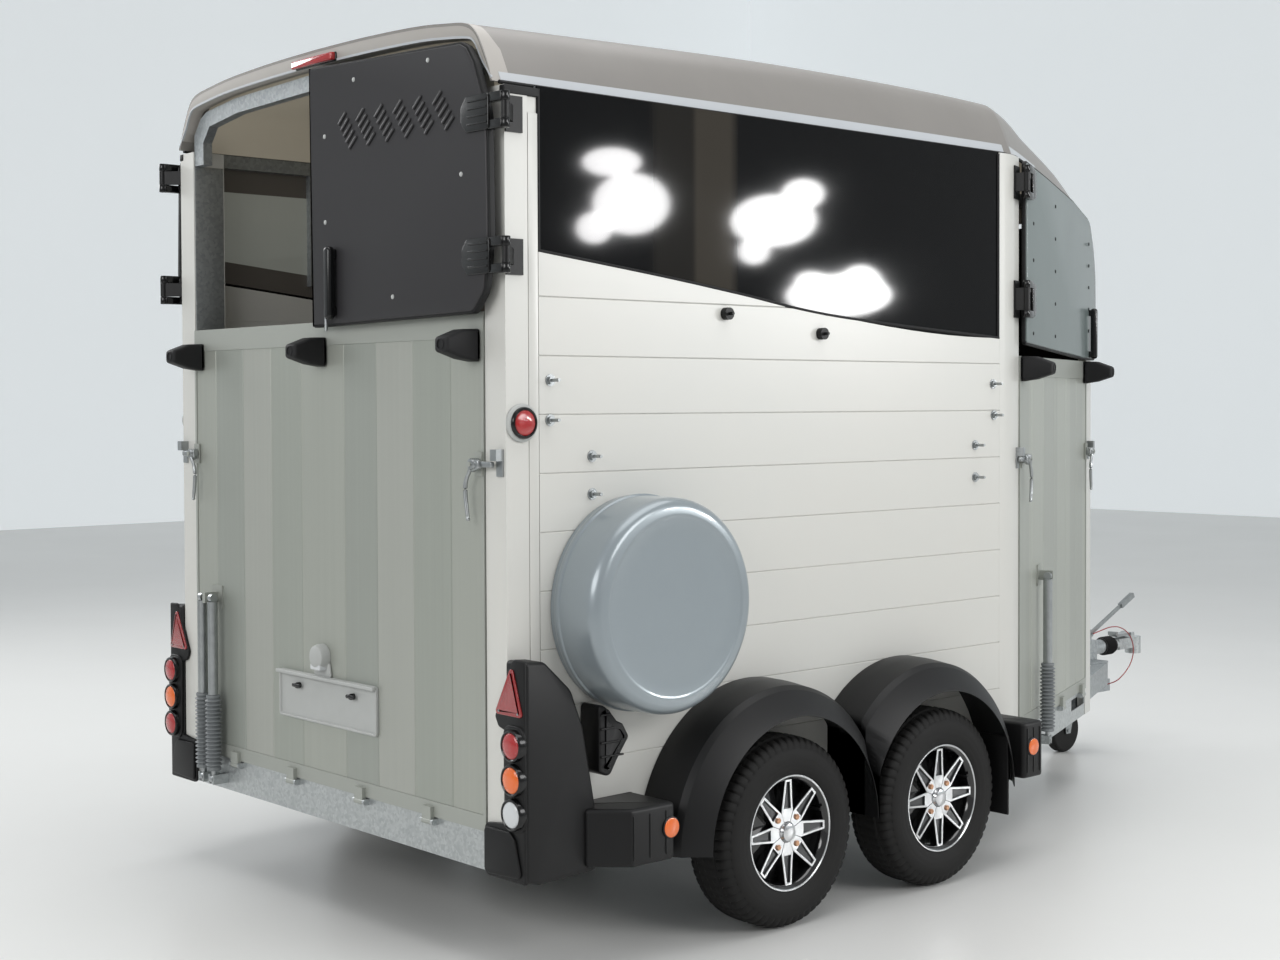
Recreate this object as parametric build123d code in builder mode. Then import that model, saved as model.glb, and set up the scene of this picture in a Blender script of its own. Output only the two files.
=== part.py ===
from build123d import *
import os
from math import cos, pi, radians, sin, tan

# Two-horse livestock trailer, loaded over a rear ramp and unloaded over a front side ramp.
# Millimetres, +Z up, +Y towards the coupling, +X the offside.
# The origin lies on the ground, midway between the ends.  Distances along the body are
# counted forwards from the rear face of the rear posts.

os.makedirs("parts", exist_ok=True)

# ---- driving dimensions ------------------------------------------------------------
BODY_HALF = 928.5        # centre line to the outside of a side wall
SIDE_LEN = 2228.5        # straight side wall, from the rear face
CORNER_AT = 2300.0       # where the side plane meets the turned front face
FACE_TURN = 22.0         # degrees by which the front faces turn inwards
FACE_LEN = 1315.0        # length of a turned front face
FLOOR_Z = 400.0          # underside of the floor
WALL_TOP = 2500.0        # eaves
WALL_T = 30.0            # thickness of the wall planks
SKIN = 3.0               # wall of a hollow extrusion
SEAM = 0.4               # gap between neighbouring pieces
HITCH_AT = 4552.0        # front of the coupling head
BUFFER_OUT = 122.0       # how far the ramp buffers stand out

POST_W = 93.5            # rear post, across
POST_D = 118.0           # rear post, along the side
POST_LOW = 290.0         # underside of posts and sills
NOSE_POST_IN = 32.0      # nose post, behind the turned face
PLANK_PITCH = 166.2
TOP_JOINT = 1910.0       # highest joint between wall planks
PLANKS = 10

DOORWAY_HALF = BODY_HALF - POST_W
RAMP_LOW = 402.0
RAMP_TOP = 1868.0
FRONT_RAMP_TOP = 1775.0
RAMP_GAP = 3.0           # ramp edge to post
RAMP_IN = 35.0           # ramp depth behind the face
RAMP_OUT = 5.0           # ramp frame in front of the face
RAIL_LOW = 45.0
RAIL_TOP = 73.0
HINGE_Z = 388.0          # ramp hinge line
HINGE_OUT = 12.0
PIN_R = 6.0
PIN_FIT = 0.1

AXLES = (950.0, 1680.5)
HUB_Z = 294.5
TYRE_R = 294.5
TYRE_IN = BODY_HALF + 7.5
TYRE_OUT = TYRE_IN + 182.0
RIM_R = 168.0
RIM_LIP = 181.0
SPINDLE_R = 20.0
GUARD_OUT = BODY_HALF + 221.5   # outside of the mudguards

STRUT_OUT = 45.0         # strut axis in front of the face
STRUT_FOOT_Z = 330.0
STRUT_TOP_Z = 950.0

DOOR_AXIS_X = BODY_HALF + 56.5  # rear top door hinge line
DOOR_AXIS_OUT = 40.0
DOOR_BACK = 27.0         # inner face of a rear top door
DOOR_T = 26.0

TUBE_Z = 455.0           # coupling draw tube
TUBE_R = 25.0
BALL_R = 25.4
JOCKEY_AT = 3970.0
JOCKEY_R = 100.0

SPARE_AT = 470.0
SPARE_Z = 1025.0
COVER_R = 315.0
COVER_DEPTH = 192.0

REAR = BUFFER_OUT - (BUFFER_OUT + HITCH_AT) / 2
TURN_SIN = sin(radians(FACE_TURN))
TURN_COS = cos(radians(FACE_TURN))
NOSE_HALF = BODY_HALF - FACE_LEN * TURN_SIN
NOSE_AT = CORNER_AT + FACE_LEN * TURN_COS

# ---- working planes: (across, up), extruding outwards ------------------------------
REAR_FACE = Plane(origin=(0, REAR, 0), x_dir=(1, 0, 0), z_dir=(0, -1, 0))
SIDE_FACE = Plane(origin=(BODY_HALF, REAR, 0), x_dir=(0, 1, 0), z_dir=(1, 0, 0))
MID_FACE = Plane(origin=(0, REAR, 0), x_dir=(0, 1, 0), z_dir=(1, 0, 0))
TURNED_FACE = Plane(
    origin=(BODY_HALF, REAR + CORNER_AT, 0),
    x_dir=(-TURN_SIN, TURN_COS, 0),
    z_dir=(TURN_COS, TURN_SIN, 0),
)
PLAN = Plane(origin=(0, REAR, 0), x_dir=(1, 0, 0), z_dir=(0, 0, 1))


def block(face, across, up, out, mode=Mode.ADD):
    """A box on a face: each pair is (from, to)."""
    with BuildSketch(face.offset(out[0])) as area:
        with Locations(((across[0] + across[1]) / 2, (up[0] + up[1]) / 2)):
            Rectangle(across[1] - across[0], up[1] - up[0])
    extrude(area.sketch, amount=out[1] - out[0], mode=mode)


def disc(face, centre, radius, out, mode=Mode.ADD):
    """A round bar that stands on a face."""
    with BuildSketch(face.offset(out[0])) as area:
        with Locations(centre):
            Circle(radius)
    extrude(area.sketch, amount=out[1] - out[0], mode=mode)


def plate(face, points, out, mode=Mode.ADD):
    """A flat plate with a straight-sided outline."""
    with BuildSketch(face.offset(out[0])) as area:
        with BuildLine():
            Polyline(*points, close=True)
        make_face()
    extrude(area.sketch, amount=out[1] - out[0], mode=mode)


def hollow(face, across, up, out, wall=4.0):
    """A rectangular tube that runs along the face's normal."""
    block(face, across, up, out)
    inner_across = (across[0] + wall, across[1] - wall)
    inner_up = (up[0] + wall, up[1] - wall)
    block(face, inner_across, inner_up, out, Mode.SUBTRACT)


def upright(across, along, up, wall=4.0):
    """A vertical tube: across is X, along is the distance from the rear face."""
    hollow(PLAN, across, along, up, wall)


def save(piece, name):
    """Labels a finished piece and writes it."""
    piece.label = name
    export_step(piece, f"parts/{name}.step")


def group(*pieces):
    """Several pieces as separate solids of one node."""
    return Compound([solid for piece in pieces for solid in piece.solids()])


def both_sides(right):
    """A piece and its copy on the other side, as separate solids."""
    return group(right, mirror(right, about=Plane.YZ))


# ---- chassis -----------------------------------------------------------------------
RAIL_X = (770.0, 830.0)
RAIL_Z = (340.0, FLOOR_Z)
RAIL_END = 2376.0
CROSS_AT = (90.0, 590.0, 1315.0, 2040.0, 2350.0)
CROSS_W = 50.0
INNER_RAIL_X = (330.0, 390.0)
HANGERS = (AXLES[0] - 330, (AXLES[0] + AXLES[1]) / 2, AXLES[1] + 330)

with BuildPart() as chassis:
    for side in (-1, 1):
        ends = sorted((side * RAIL_X[0], side * RAIL_X[1]))
        hollow(REAR_FACE, ends, RAIL_Z, (-RAIL_END, -64))
        ends = sorted((side * INNER_RAIL_X[0], side * INNER_RAIL_X[1]))
        hollow(REAR_FACE, ends, RAIL_Z, (-(NOSE_AT - 60 - SEAM), -(RAIL_END + SEAM)))
        ends = sorted((side * 868, side * BODY_HALF))
        hollow(REAR_FACE, ends, RAIL_Z, (-SIDE_LEN, -(POST_D + SEAM)))
        for at in CROSS_AT[:-1]:
            ends = sorted((side * (RAIL_X[1] + SEAM), side * (868 - SEAM)))
            block(PLAN, ends, (at + POST_D - 60, at + POST_D - 54), (RAIL_Z[0] + 10, FLOOR_Z))
        for at in HANGERS:
            ends = sorted((side * (RAIL_X[0] + 2), side * (RAIL_X[0] + 8)))
            half = 62 if at == HANGERS[1] else 26
            block(PLAN, ends, (at - half, at + half), (300, RAIL_Z[0] - SEAM))
            ends = sorted((side * (RAIL_X[1] - 8), side * (RAIL_X[1] - 2)))
            block(PLAN, ends, (at - half, at + half), (300, RAIL_Z[0] - SEAM))
    for at in CROSS_AT:
        span = RAIL_X[0] - SEAM
        hollow(MID_FACE, (at - CROSS_W / 2, at + CROSS_W / 2), RAIL_Z, (-span, span))
    nose_span = NOSE_HALF - NOSE_POST_IN - 1
    hollow(MID_FACE, (NOSE_AT - 60, NOSE_AT), (POST_LOW, FLOOR_Z), (-nose_span, nose_span))
save(chassis.part, "chassis_frame")

REAR_STATIONS = (-560.0, -200.0, 200.0, 560.0)
FRONT_STATIONS = (190.0, 560.0, 760.0, 1110.0)
EAR_IN = 22.0
EAR_OUT = 32.0
EAR_R = 9.0


def sill(face, across):
    """A folded sill: a web with a flange along its top and bottom."""
    block(face, across, (POST_LOW, FLOOR_Z), (-7, -2))
    block(face, across, (FLOOR_Z - 5, FLOOR_Z), (-60, -2))
    block(face, across, (POST_LOW, POST_LOW + 5), (-60, -2))


def sill_hinges(face, stations):
    """Pairs of ears on the sill's web, with a pin through each pair."""
    for at in stations:
        for side in (-1, 1):
            ear = sorted((at + side * EAR_IN, at + side * EAR_OUT))
            block(face, ear, (HINGE_Z - EAR_R, HINGE_Z + EAR_R), (-3, HINGE_OUT))
            cross = Plane(
                origin=face.from_local_coords(Vector(ear[0], HINGE_Z, HINGE_OUT)),
                x_dir=face.z_dir,
                z_dir=face.x_dir,
            )
            disc(cross, (0, 0), EAR_R, (0, EAR_OUT - EAR_IN))
        cross = Plane(
            origin=face.from_local_coords(Vector(at, HINGE_Z, HINGE_OUT)),
            x_dir=face.z_dir,
            z_dir=face.x_dir,
        )
        disc(cross, (0, 0), PIN_R, (-EAR_OUT, EAR_OUT))


STRUT_EYE_W = 20.0
STRUT_EYE_R = 14.0
STRUT_PIN_R = 7.0
REAR_STRUTS = (-720.0, -650.0)
FRONT_STRUTS = (365.0,)


def across_plane(face, across, up, out):
    """A plane square to the face, at a point, whose normal runs along the face."""
    origin = face.from_local_coords(Vector(across, up, out))
    return Plane(origin=origin, x_dir=face.z_dir, z_dir=face.x_dir)


def strut_feet(face, places):
    """A pair of lugs and a pin on the sill for each strut's lower eye."""
    half = STRUT_EYE_W / 2 + 1
    for at in places:
        for lug in ((at - half - 6, at - half), (at + half, at + half + 6)):
            up = (STRUT_FOOT_Z - 16, STRUT_FOOT_Z + 16)
            block(face, lug, up, (-3, STRUT_OUT + 12))
        pin = across_plane(face, at, STRUT_FOOT_Z, STRUT_OUT)
        disc(pin, (0, 0), STRUT_PIN_R, (-half - 6, half + 6))


SLOTS = ((280.0, 430.0), (970.0, 1220.0))
FACE_START = 102.0
FACE_END = FACE_LEN - 102.0
with BuildPart() as sills:
    sill(REAR_FACE, (-DOORWAY_HALF + 1, DOORWAY_HALF - 1))
    sill_hinges(REAR_FACE, REAR_STATIONS)
    strut_feet(REAR_FACE, REAR_STRUTS)
    sill(TURNED_FACE, (FACE_START, FACE_END))
    for slot in SLOTS:
        slot_end = min(slot[1], FACE_END - 12)
        block(TURNED_FACE, (slot[0], slot_end), (338, 384), (-10, 0), Mode.SUBTRACT)
    sill_hinges(TURNED_FACE, FRONT_STATIONS)
    strut_feet(TURNED_FACE, FRONT_STRUTS)
with BuildPart() as left_sill:
    sill(TURNED_FACE, (FACE_START, FACE_END))
save(group(sills.part, mirror(left_sill.part, about=Plane.YZ)), "sills")

# ---- drawbar -----------------------------------------------------------------------
ARM_W = 60.0
ARM_Z = (300.0, FLOOR_Z)
ARM_ROOT = (360.0, NOSE_AT + SEAM)
ARM_TIP = (74.0, 4150.0)
HOUSING = (4010.0, 4160.0)
SNOUT_END = 4245.0
SNOUT_R = 33.0


def arm_x(at):
    """Centre line of the right-hand drawbar arm."""
    share = (at - ARM_ROOT[1]) / (ARM_TIP[1] - ARM_ROOT[1])
    return ARM_ROOT[0] + share * (ARM_TIP[0] - ARM_ROOT[0])


with BuildPart() as arm:
    half = ARM_W / 2
    outline = (
        (ARM_ROOT[0] - half, ARM_ROOT[1]),
        (ARM_ROOT[0] + half, ARM_ROOT[1]),
        (ARM_TIP[0] + half, ARM_TIP[1]),
        (ARM_TIP[0] - half, ARM_TIP[1]),
    )
    plate(PLAN, outline, ARM_Z)
    bore = (
        (ARM_ROOT[0] - half + 5, ARM_ROOT[1]),
        (ARM_ROOT[0] + half - 5, ARM_ROOT[1]),
        (ARM_TIP[0] + half - 5, ARM_TIP[1]),
        (ARM_TIP[0] - half + 5, ARM_TIP[1]),
    )
    plate(PLAN, bore, (ARM_Z[0] + 5, ARM_Z[1] - 5), Mode.SUBTRACT)

LEVER_PIVOT = (4090.0, 535.0)
LEVER_X = 52.0
CLAMP_Z = (ARM_Z[0] + 45, 430.0)
JOCKEY_TUBE_R = 24.0
with BuildPart() as drawbar:
    block(PLAN, (-106, 106), (HOUSING[0], ARM_TIP[1]), (FLOOR_Z + SEAM, FLOOR_Z + 8))
    block(PLAN, (-40, 40), HOUSING, (FLOOR_Z + 6, TUBE_Z + 42))
    disc(REAR_FACE, (0, TUBE_Z), SNOUT_R, (-SNOUT_END, -HOUSING[1]))
    disc(REAR_FACE, (0, TUBE_Z), TUBE_R + PIN_FIT, (-SNOUT_END, -HOUSING[0]), Mode.SUBTRACT)
    lug = (LEVER_X - 14, LEVER_X - 8)
    block(MID_FACE, (LEVER_PIVOT[0] - 20, LEVER_PIVOT[0] + 20), (TUBE_Z, LEVER_PIVOT[1] + 15), lug)
    disc(MID_FACE, LEVER_PIVOT, 6, (LEVER_X - 10, LEVER_X + 9))
with BuildPart() as hitch_skirt:
    block(MID_FACE, (4120, 4320), (240, 296), (-3, 3))
    block(MID_FACE, (4120, ARM_TIP[1] - 2), (290, FLOOR_Z), (-3, 3))
clamp_half = arm_x(JOCKEY_AT + 25) - ARM_W / 2 - SEAM
with BuildPart() as jockey_clamp:
    block(PLAN, (-clamp_half, clamp_half), (JOCKEY_AT - 25, JOCKEY_AT + 25), (CLAMP_Z[0], FLOOR_Z))
    disc(PLAN, (0, JOCKEY_AT), 36, CLAMP_Z)
    disc(PLAN, (0, JOCKEY_AT), JOCKEY_TUBE_R + 0.3, CLAMP_Z, Mode.SUBTRACT)
arms = both_sides(arm.part)
save(group(drawbar.part, hitch_skirt.part, jockey_clamp.part, arms), "drawbar")

HANDLE_PIVOT = (4470.0, 496.0)
HANDLE_HALF = 22.0
with BuildPart() as draw_tube:
    disc(REAR_FACE, (0, TUBE_Z), TUBE_R, (-4400, -(HOUSING[0] + 100)))
    disc(REAR_FACE, (0, TUBE_Z), 30, (-4440, -4336))
    block(PLAN, (-29, 29), (4360, 4500), (TUBE_Z - 24, TUBE_Z + 27))
    disc(PLAN, (0, HITCH_AT - 37), 37, (402, TUBE_Z + 27))
    for ear in ((-29, -HANDLE_HALF - SEAM), (HANDLE_HALF + SEAM, 29)):
        block(MID_FACE, (4456, 4484), (TUBE_Z + 20, 506), ear)
    disc(MID_FACE, HANDLE_PIVOT, 4, (-29, 29))
    disc(PLAN, (0, HITCH_AT - 37), BALL_R, (402, 437), Mode.SUBTRACT)
save(draw_tube.part, "coupling_head")

with BuildPart() as handle:
    disc(MID_FACE, HANDLE_PIVOT, 9, (-HANDLE_HALF, HANDLE_HALF))
    block(MID_FACE, (4350, HANDLE_PIVOT[0]), (492, 504), (-22, 22))
    block(MID_FACE, (4340, 4356), (499, 516), (-HANDLE_HALF, HANDLE_HALF))
    disc(MID_FACE, HANDLE_PIVOT, 4 + PIN_FIT, (-HANDLE_HALF, HANDLE_HALF), Mode.SUBTRACT)
save(handle.part, "coupling_handle")

BELLOWS_AT = (SNOUT_END - 4, 4335.0)
with BuildPart() as bellows:
    disc(REAR_FACE, (0, TUBE_Z), 42, (-BELLOWS_AT[1], -BELLOWS_AT[0]))
    disc(REAR_FACE, (0, TUBE_Z), SNOUT_R + 1, (-BELLOWS_AT[1] + 3, -BELLOWS_AT[0]), Mode.SUBTRACT)
    disc(REAR_FACE, (0, TUBE_Z), TUBE_R + 0.3, (-BELLOWS_AT[1], -BELLOWS_AT[0]), Mode.SUBTRACT)
save(bellows.part, "coupling_bellows")

LEVER_LEN = 373.0
LEVER_RISE = 24.4
lever_axis = Plane(
    origin=(LEVER_X, REAR + LEVER_PIVOT[0], LEVER_PIVOT[1]),
    x_dir=(0, cos(radians(LEVER_RISE)), sin(radians(LEVER_RISE))),
    z_dir=(1, 0, 0),
)
with BuildPart() as lever:
    disc(lever_axis, (0, 0), 16, (-6, 6))
    block(lever_axis, (0, LEVER_LEN - 100), (-9, 9), (-4, 4))
    block(lever_axis, (LEVER_LEN - 110, LEVER_LEN), (-11, 11), (-11, 11))
    disc(lever_axis, (0, 0), 6 + PIN_FIT, (-6, 6), Mode.SUBTRACT)
save(lever.part, "handbrake_lever")

JOCKEY_TRAIL = 30.0
with BuildPart() as jockey_leg:
    disc(PLAN, (0, JOCKEY_AT), JOCKEY_TUBE_R, (232, 690))
    disc(PLAN, (0, JOCKEY_AT), 8, (690, 730))
    block(PLAN, (-8, 8), (JOCKEY_AT - 95, JOCKEY_AT + 8), (722, 734))
    disc(PLAN, (0, JOCKEY_AT - 88), 11, (734, 790))
save(jockey_leg.part, "jockey_leg")
with BuildPart() as jockey_fork:
    block(PLAN, (-36, 36), (JOCKEY_AT - 62, JOCKEY_AT + 24), (212, 220))
    disc(PLAN, (0, JOCKEY_AT), 22, (216, 231.6))
    for side in (-1, 1):
        cheek = sorted((side * 30, side * 36))
        points = (
            (JOCKEY_AT - 62, 220),
            (JOCKEY_AT + 24, 220),
            (JOCKEY_AT - JOCKEY_TRAIL + 16, 86),
            (JOCKEY_AT - JOCKEY_TRAIL - 16, 86),
        )
        plate(MID_FACE, points, cheek)
    disc(MID_FACE, (JOCKEY_AT - JOCKEY_TRAIL, JOCKEY_R), 8, (-40, 40))
save(jockey_fork.part, "jockey_fork")
with BuildPart() as jockey_wheel:
    disc(MID_FACE, (JOCKEY_AT - JOCKEY_TRAIL, JOCKEY_R), JOCKEY_R, (-25, 25))
    disc(MID_FACE, (JOCKEY_AT - JOCKEY_TRAIL, JOCKEY_R), 8 + PIN_FIT, (-25, 25), Mode.SUBTRACT)
    fillet(jockey_wheel.edges().filter_by(GeomType.CIRCLE).group_by(SortBy.RADIUS)[-1], 12)
save(jockey_wheel.part, "jockey_wheel")

# A thin steel cable in a plastic sheath, from the handbrake's pin past the head to the skirt.
CABLE_R = 2.5
CABLE_SIDE = 62.0
CABLE = (
    (LEVER_X + 12, 4092, 534),
    (CABLE_SIDE + 8, 4150, 546),
    (CABLE_SIDE + 10, 4215, 556),
    (CABLE_SIDE + 6, 4285, 552),
    (CABLE_SIDE, 4350, 532),
    (CABLE_SIDE - 4, 4402, 500),
    (CABLE_SIDE - 4, 4430, 455),
    (CABLE_SIDE, 4425, 405),
    (CABLE_SIDE + 2, 4395, 360),
    (CABLE_SIDE - 2, 4352, 322),
    (CABLE_SIDE - 20, 4316, 288),
    (5.2, 4296, 272),
)


def cable_path(points):
    """Straight runs joined by arcs as large as the runs allow."""
    spots = [Vector(x, REAR + at, z) for x, at, z in points]
    radii = []
    for before, here, after in zip(spots, spots[1:], spots[2:]):
        run_in = here - before
        run_out = after - here
        turn = run_in.get_angle(run_out)
        reach = 0.45 * min(run_in.length, run_out.length)
        radii.append(reach / tan(radians(turn / 2)))
    print("cable radii", [round(radius) for radius in radii])
    return spots, radii


cable_spots, cable_radii = cable_path(CABLE)
with BuildPart() as cable:
    with BuildLine() as route:
        FilletPolyline(*cable_spots, radius=cable_radii)
    start = route.line @ 0
    with BuildSketch(Plane(origin=start, z_dir=route.line % 0)):
        Circle(CABLE_R)
    sweep()
route_length = sum(edge.length for edge in route.edges())
print("cable", round(route_length), round(cable.part.volume), round(pi * CABLE_R**2 * route_length))
save(cable.part, "breakaway_cable")

# ---- axles and springs -------------------------------------------------------------
LEAF_SAG = 60.0
LEAF_HALF = 330.0
LEAF_T = 8.0
LEAF_X = (RAIL_X[0] + 8.4, RAIL_X[1] - 8.4)
LEAF_R = (LEAF_HALF**2 + LEAF_SAG**2) / (2 * LEAF_SAG)
AXLE_Z = (HUB_Z - 24.5, HUB_Z + 25.5)
LEAF_TOP = AXLE_Z[0] - SEAM

with BuildPart() as axles:
    for at in AXLES:
        hollow(MID_FACE, (at - 25, at + 25), AXLE_Z, (-900, 900), 5)
        for side in (-1, 1):
            disc(MID_FACE, (at, HUB_Z), SPINDLE_R, sorted((side * 880, side * 1066)))
            ends = sorted((side * LEAF_X[0], side * LEAF_X[1]))
            for leaf, half in enumerate((LEAF_HALF, 230.0, 130.0)):
                low = LEAF_R + leaf * (LEAF_T + SEAM)
                with BuildSketch(MID_FACE.offset(ends[0])) as strip:
                    with Locations((at, LEAF_TOP + LEAF_R)):
                        Circle(low + LEAF_T)
                        Circle(low, mode=Mode.SUBTRACT)
                    with Locations((at, LEAF_TOP)):
                        Rectangle(2 * half, 260, mode=Mode.INTERSECT)
                extrude(strip.sketch, amount=ends[1] - ends[0])
save(axles.part, "axles_and_springs")

# ---- wheels ------------------------------------------------------------------------
HUB_FACE = TYRE_OUT - 26.0


def wheel_pieces(at, side):
    """The tyre and the alloy wheel with its hub and drum, about the spindle."""
    section = Plane(origin=(0, REAR + at, HUB_Z), x_dir=(side, 0, 0), z_dir=(0, -side, 0))
    axis = Axis((0, REAR + at, HUB_Z), (1, 0, 0))
    with BuildPart() as tyre:
        with BuildSketch(section):
            with BuildLine():
                Polyline(
                    (TYRE_IN + 12, RIM_R + SEAM),
                    (TYRE_OUT - 16, RIM_R + SEAM),
                    (TYRE_OUT - 14, RIM_LIP + 5),
                    (TYRE_OUT - 4, 215),
                    (TYRE_OUT, 240),
                    (TYRE_OUT - 8, 272),
                    (TYRE_OUT - 28, TYRE_R - 3),
                    (TYRE_OUT - 60, TYRE_R),
                    (TYRE_IN + 60, TYRE_R),
                    (TYRE_IN + 28, TYRE_R - 3),
                    (TYRE_IN + 8, 272),
                    (TYRE_IN, 240),
                    (TYRE_IN + 4, 215),
                    (TYRE_IN + 12, RIM_LIP + 5),
                    close=True,
                )
            make_face()
        revolve(axis=axis)
    with BuildPart() as rim:
        with BuildSketch(section):
            with BuildLine():
                Polyline(
                    (TYRE_IN + 14, RIM_R - 8),
                    (TYRE_OUT - 30, RIM_R - 12),
                    (TYRE_OUT - 8, RIM_LIP - 12),
                    (TYRE_OUT - 5, RIM_LIP),
                    (TYRE_OUT - 12, RIM_LIP),
                    (TYRE_OUT - 14, RIM_R),
                    (TYRE_IN + 14, RIM_R),
                    close=True,
                )
            make_face()
        revolve(axis=axis)
        face = MID_FACE.offset(0)
        near = sorted((side * 942, side * 985))
        disc(face, (at, HUB_Z), 112, near)
        disc(face, (at, HUB_Z), 52, sorted((side * 980, side * HUB_FACE)))
        for spoke in range(8):
            turn = radians(45 * spoke)
            across = (at + 102 * sin(turn), HUB_Z + 102 * cos(turn))
            with BuildSketch(face.offset(side * (HUB_FACE - 16))) as arm_area:
                with Locations(Location(across, 90 - 45 * spoke)):
                    Rectangle(124, 22)
            extrude(arm_area.sketch, amount=side * 16)
        disc(face, (at, HUB_Z), 30, sorted((side * HUB_FACE, side * (HUB_FACE + 12))))
        inner = sorted((side * 940, side * 1070))
        disc(face, (at, HUB_Z), SPINDLE_R + PIN_FIT, inner, Mode.SUBTRACT)
    return tyre.part, rim.part


for end, at in (("rear", AXLES[0]), ("front", AXLES[1])):
    for hand, side in (("left", -1), ("right", 1)):
        tyre_part, rim_part = wheel_pieces(at, side)
        save(tyre_part, f"{end}_{hand}_tyre")
        save(rim_part, f"{end}_{hand}_alloy_wheel")

# ---- floor -------------------------------------------------------------------------
FLOOR_T = 25.0
FLOOR_REAR = 45.0
FLOOR_SIDE_GAP = WALL_T + 3
FLOOR_FACE_GAP = RAMP_IN + 11


def plan_outline(rear, front):
    """Half plan of the floor, clear of the walls and the front ramp."""
    slope = tan(radians(FACE_TURN))
    side_x = BODY_HALF - FLOOR_SIDE_GAP
    corner = CORNER_AT + (FLOOR_SIDE_GAP - FLOOR_FACE_GAP / TURN_COS) / slope
    front_x = BODY_HALF - FLOOR_FACE_GAP / TURN_COS - (front - CORNER_AT) * slope
    return ((0, rear), (side_x, rear), (side_x, corner), (front_x, front), (0, front))


with BuildPart() as floor:
    plate(PLAN, plan_outline(POST_D + 1, NOSE_AT - 36), (FLOOR_Z, FLOOR_Z + FLOOR_T))
    rear_strip = (0, DOORWAY_HALF - 2)
    block(PLAN, rear_strip, (FLOOR_REAR, POST_D + 2), (FLOOR_Z, FLOOR_Z + FLOOR_T))
    mirror(about=Plane.YZ)
save(floor.part, "floor_deck")

# ---- posts -------------------------------------------------------------------------
CORNER_T = 100.0
NOSE_POST_T = FACE_LEN - 100.0


def turned_point(along, out):
    """Plan coordinates of a point on the turned face."""
    return (
        BODY_HALF - along * TURN_SIN + out * TURN_COS,
        CORNER_AT + along * TURN_COS + out * TURN_SIN,
    )


with BuildPart() as rear_post:
    upright((DOORWAY_HALF, BODY_HALF), (0, 80), (POST_LOW, WALL_TOP - 10))
    upright((DOORWAY_HALF, BODY_HALF - 6), (76, POST_D), (POST_LOW, WALL_TOP - 10))
with BuildPart() as corner_post:
    with BuildSketch(PLAN.offset(POST_LOW)) as corner_area:
        with BuildLine():
            start = (BODY_HALF, SIDE_LEN + SEAM)
            bend_in = (BODY_HALF, CORNER_AT - 40)
            bend_out = turned_point(40, 0)
            Line(start, bend_in)
            TangentArc(bend_in, bend_out, tangent=(0, 1))
            Polyline(bend_out, turned_point(CORNER_T, 0), turned_point(CORNER_T, -30))
            Polyline(turned_point(CORNER_T, -30), turned_point(8, -30), (BODY_HALF - 30, SIDE_LEN + SEAM))
            Line((BODY_HALF - 30, SIDE_LEN + SEAM), start)
        make_face()
        offset(amount=-4, mode=Mode.SUBTRACT, kind=Kind.INTERSECTION)
    extrude(corner_area.sketch, amount=WALL_TOP - 4 - POST_LOW)
RAKE = ((1313.0, 1780.0), (1297.0, 2040.0), (1259.0, 2245.0), (1195.0, 2352.0))
with BuildPart() as nose_post:
    outline = [(NOSE_POST_T, POST_LOW), (FACE_LEN, POST_LOW)] + list(RAKE)
    outline += [(1130, 2375), (1160, 2240), (1195, 2040), (NOSE_POST_T, 1780)]
    plate(TURNED_FACE, outline, (-NOSE_POST_IN, 0))
    lower = (NOSE_POST_T + 4, FACE_LEN - 4)
    block(TURNED_FACE, lower, (POST_LOW, 1760), (-28, -4), Mode.SUBTRACT)
post_set = [both_sides(item.part) for item in (rear_post, corner_post, nose_post)]
save(group(*post_set), "body_posts")

# ---- side walls and windows --------------------------------------------------------
SWOOP = ((POST_D, 2038.0), (584.0, 1987.0), (906.0, 1947.0), (1371.0, 1888.0), (SIDE_LEN, 1836.0))


def above_swoop(lift):
    """The area above the window's lower edge, on the side plane."""
    with BuildSketch(SIDE_FACE) as area:
        with BuildLine():
            points = [(at, height + lift) for at, height in SWOOP]
            edge = Spline(*points)
            Polyline(edge @ 1, (SIDE_LEN + 50, points[-1][1]), (SIDE_LEN + 50, 2800))
            Polyline((SIDE_LEN + 50, 2800), (-50, 2800), (-50, points[0][1]), edge @ 0)
        make_face()
    return area.sketch


wall_along = (-(SIDE_LEN - 0), -(POST_D + SEAM))
with BuildPart() as side_wall:
    for plank in range(PLANKS):
        top = TOP_JOINT - (plank - 1) * PLANK_PITCH - SEAM / 2
        low = TOP_JOINT - plank * PLANK_PITCH + SEAM / 2
        if plank == PLANKS - 1:
            low = FLOOR_Z + SEAM
        face_x = BODY_HALF
        back_x = BODY_HALF - WALL_T
        groove = 2.5
        section = (
            (back_x, low),
            (face_x - groove, low),
            (face_x, low + groove),
            (face_x, top - groove),
            (face_x - groove, top),
            (back_x, top),
        )
        plate(REAR_FACE, section, wall_along)
        if plank > 2:
            core = (back_x + SKIN, face_x - SKIN)
            block(REAR_FACE, core, (low + SKIN, top - SKIN), wall_along, Mode.SUBTRACT)
    extrude(above_swoop(0), amount=50, both=True, mode=Mode.SUBTRACT)
save(both_sides(side_wall.part), "side_walls")

WINDOW_IN = 10.0
WINDOW_FACE = 5.0
with BuildPart() as side_window:
    across = (POST_D + SEAM, SIDE_LEN - SEAM)
    block(SIDE_FACE, across, (1700, WALL_TOP - 2), (-WINDOW_IN, -WINDOW_FACE))
    extrude(above_swoop(1), amount=50, both=True, mode=Mode.INTERSECT)

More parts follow.
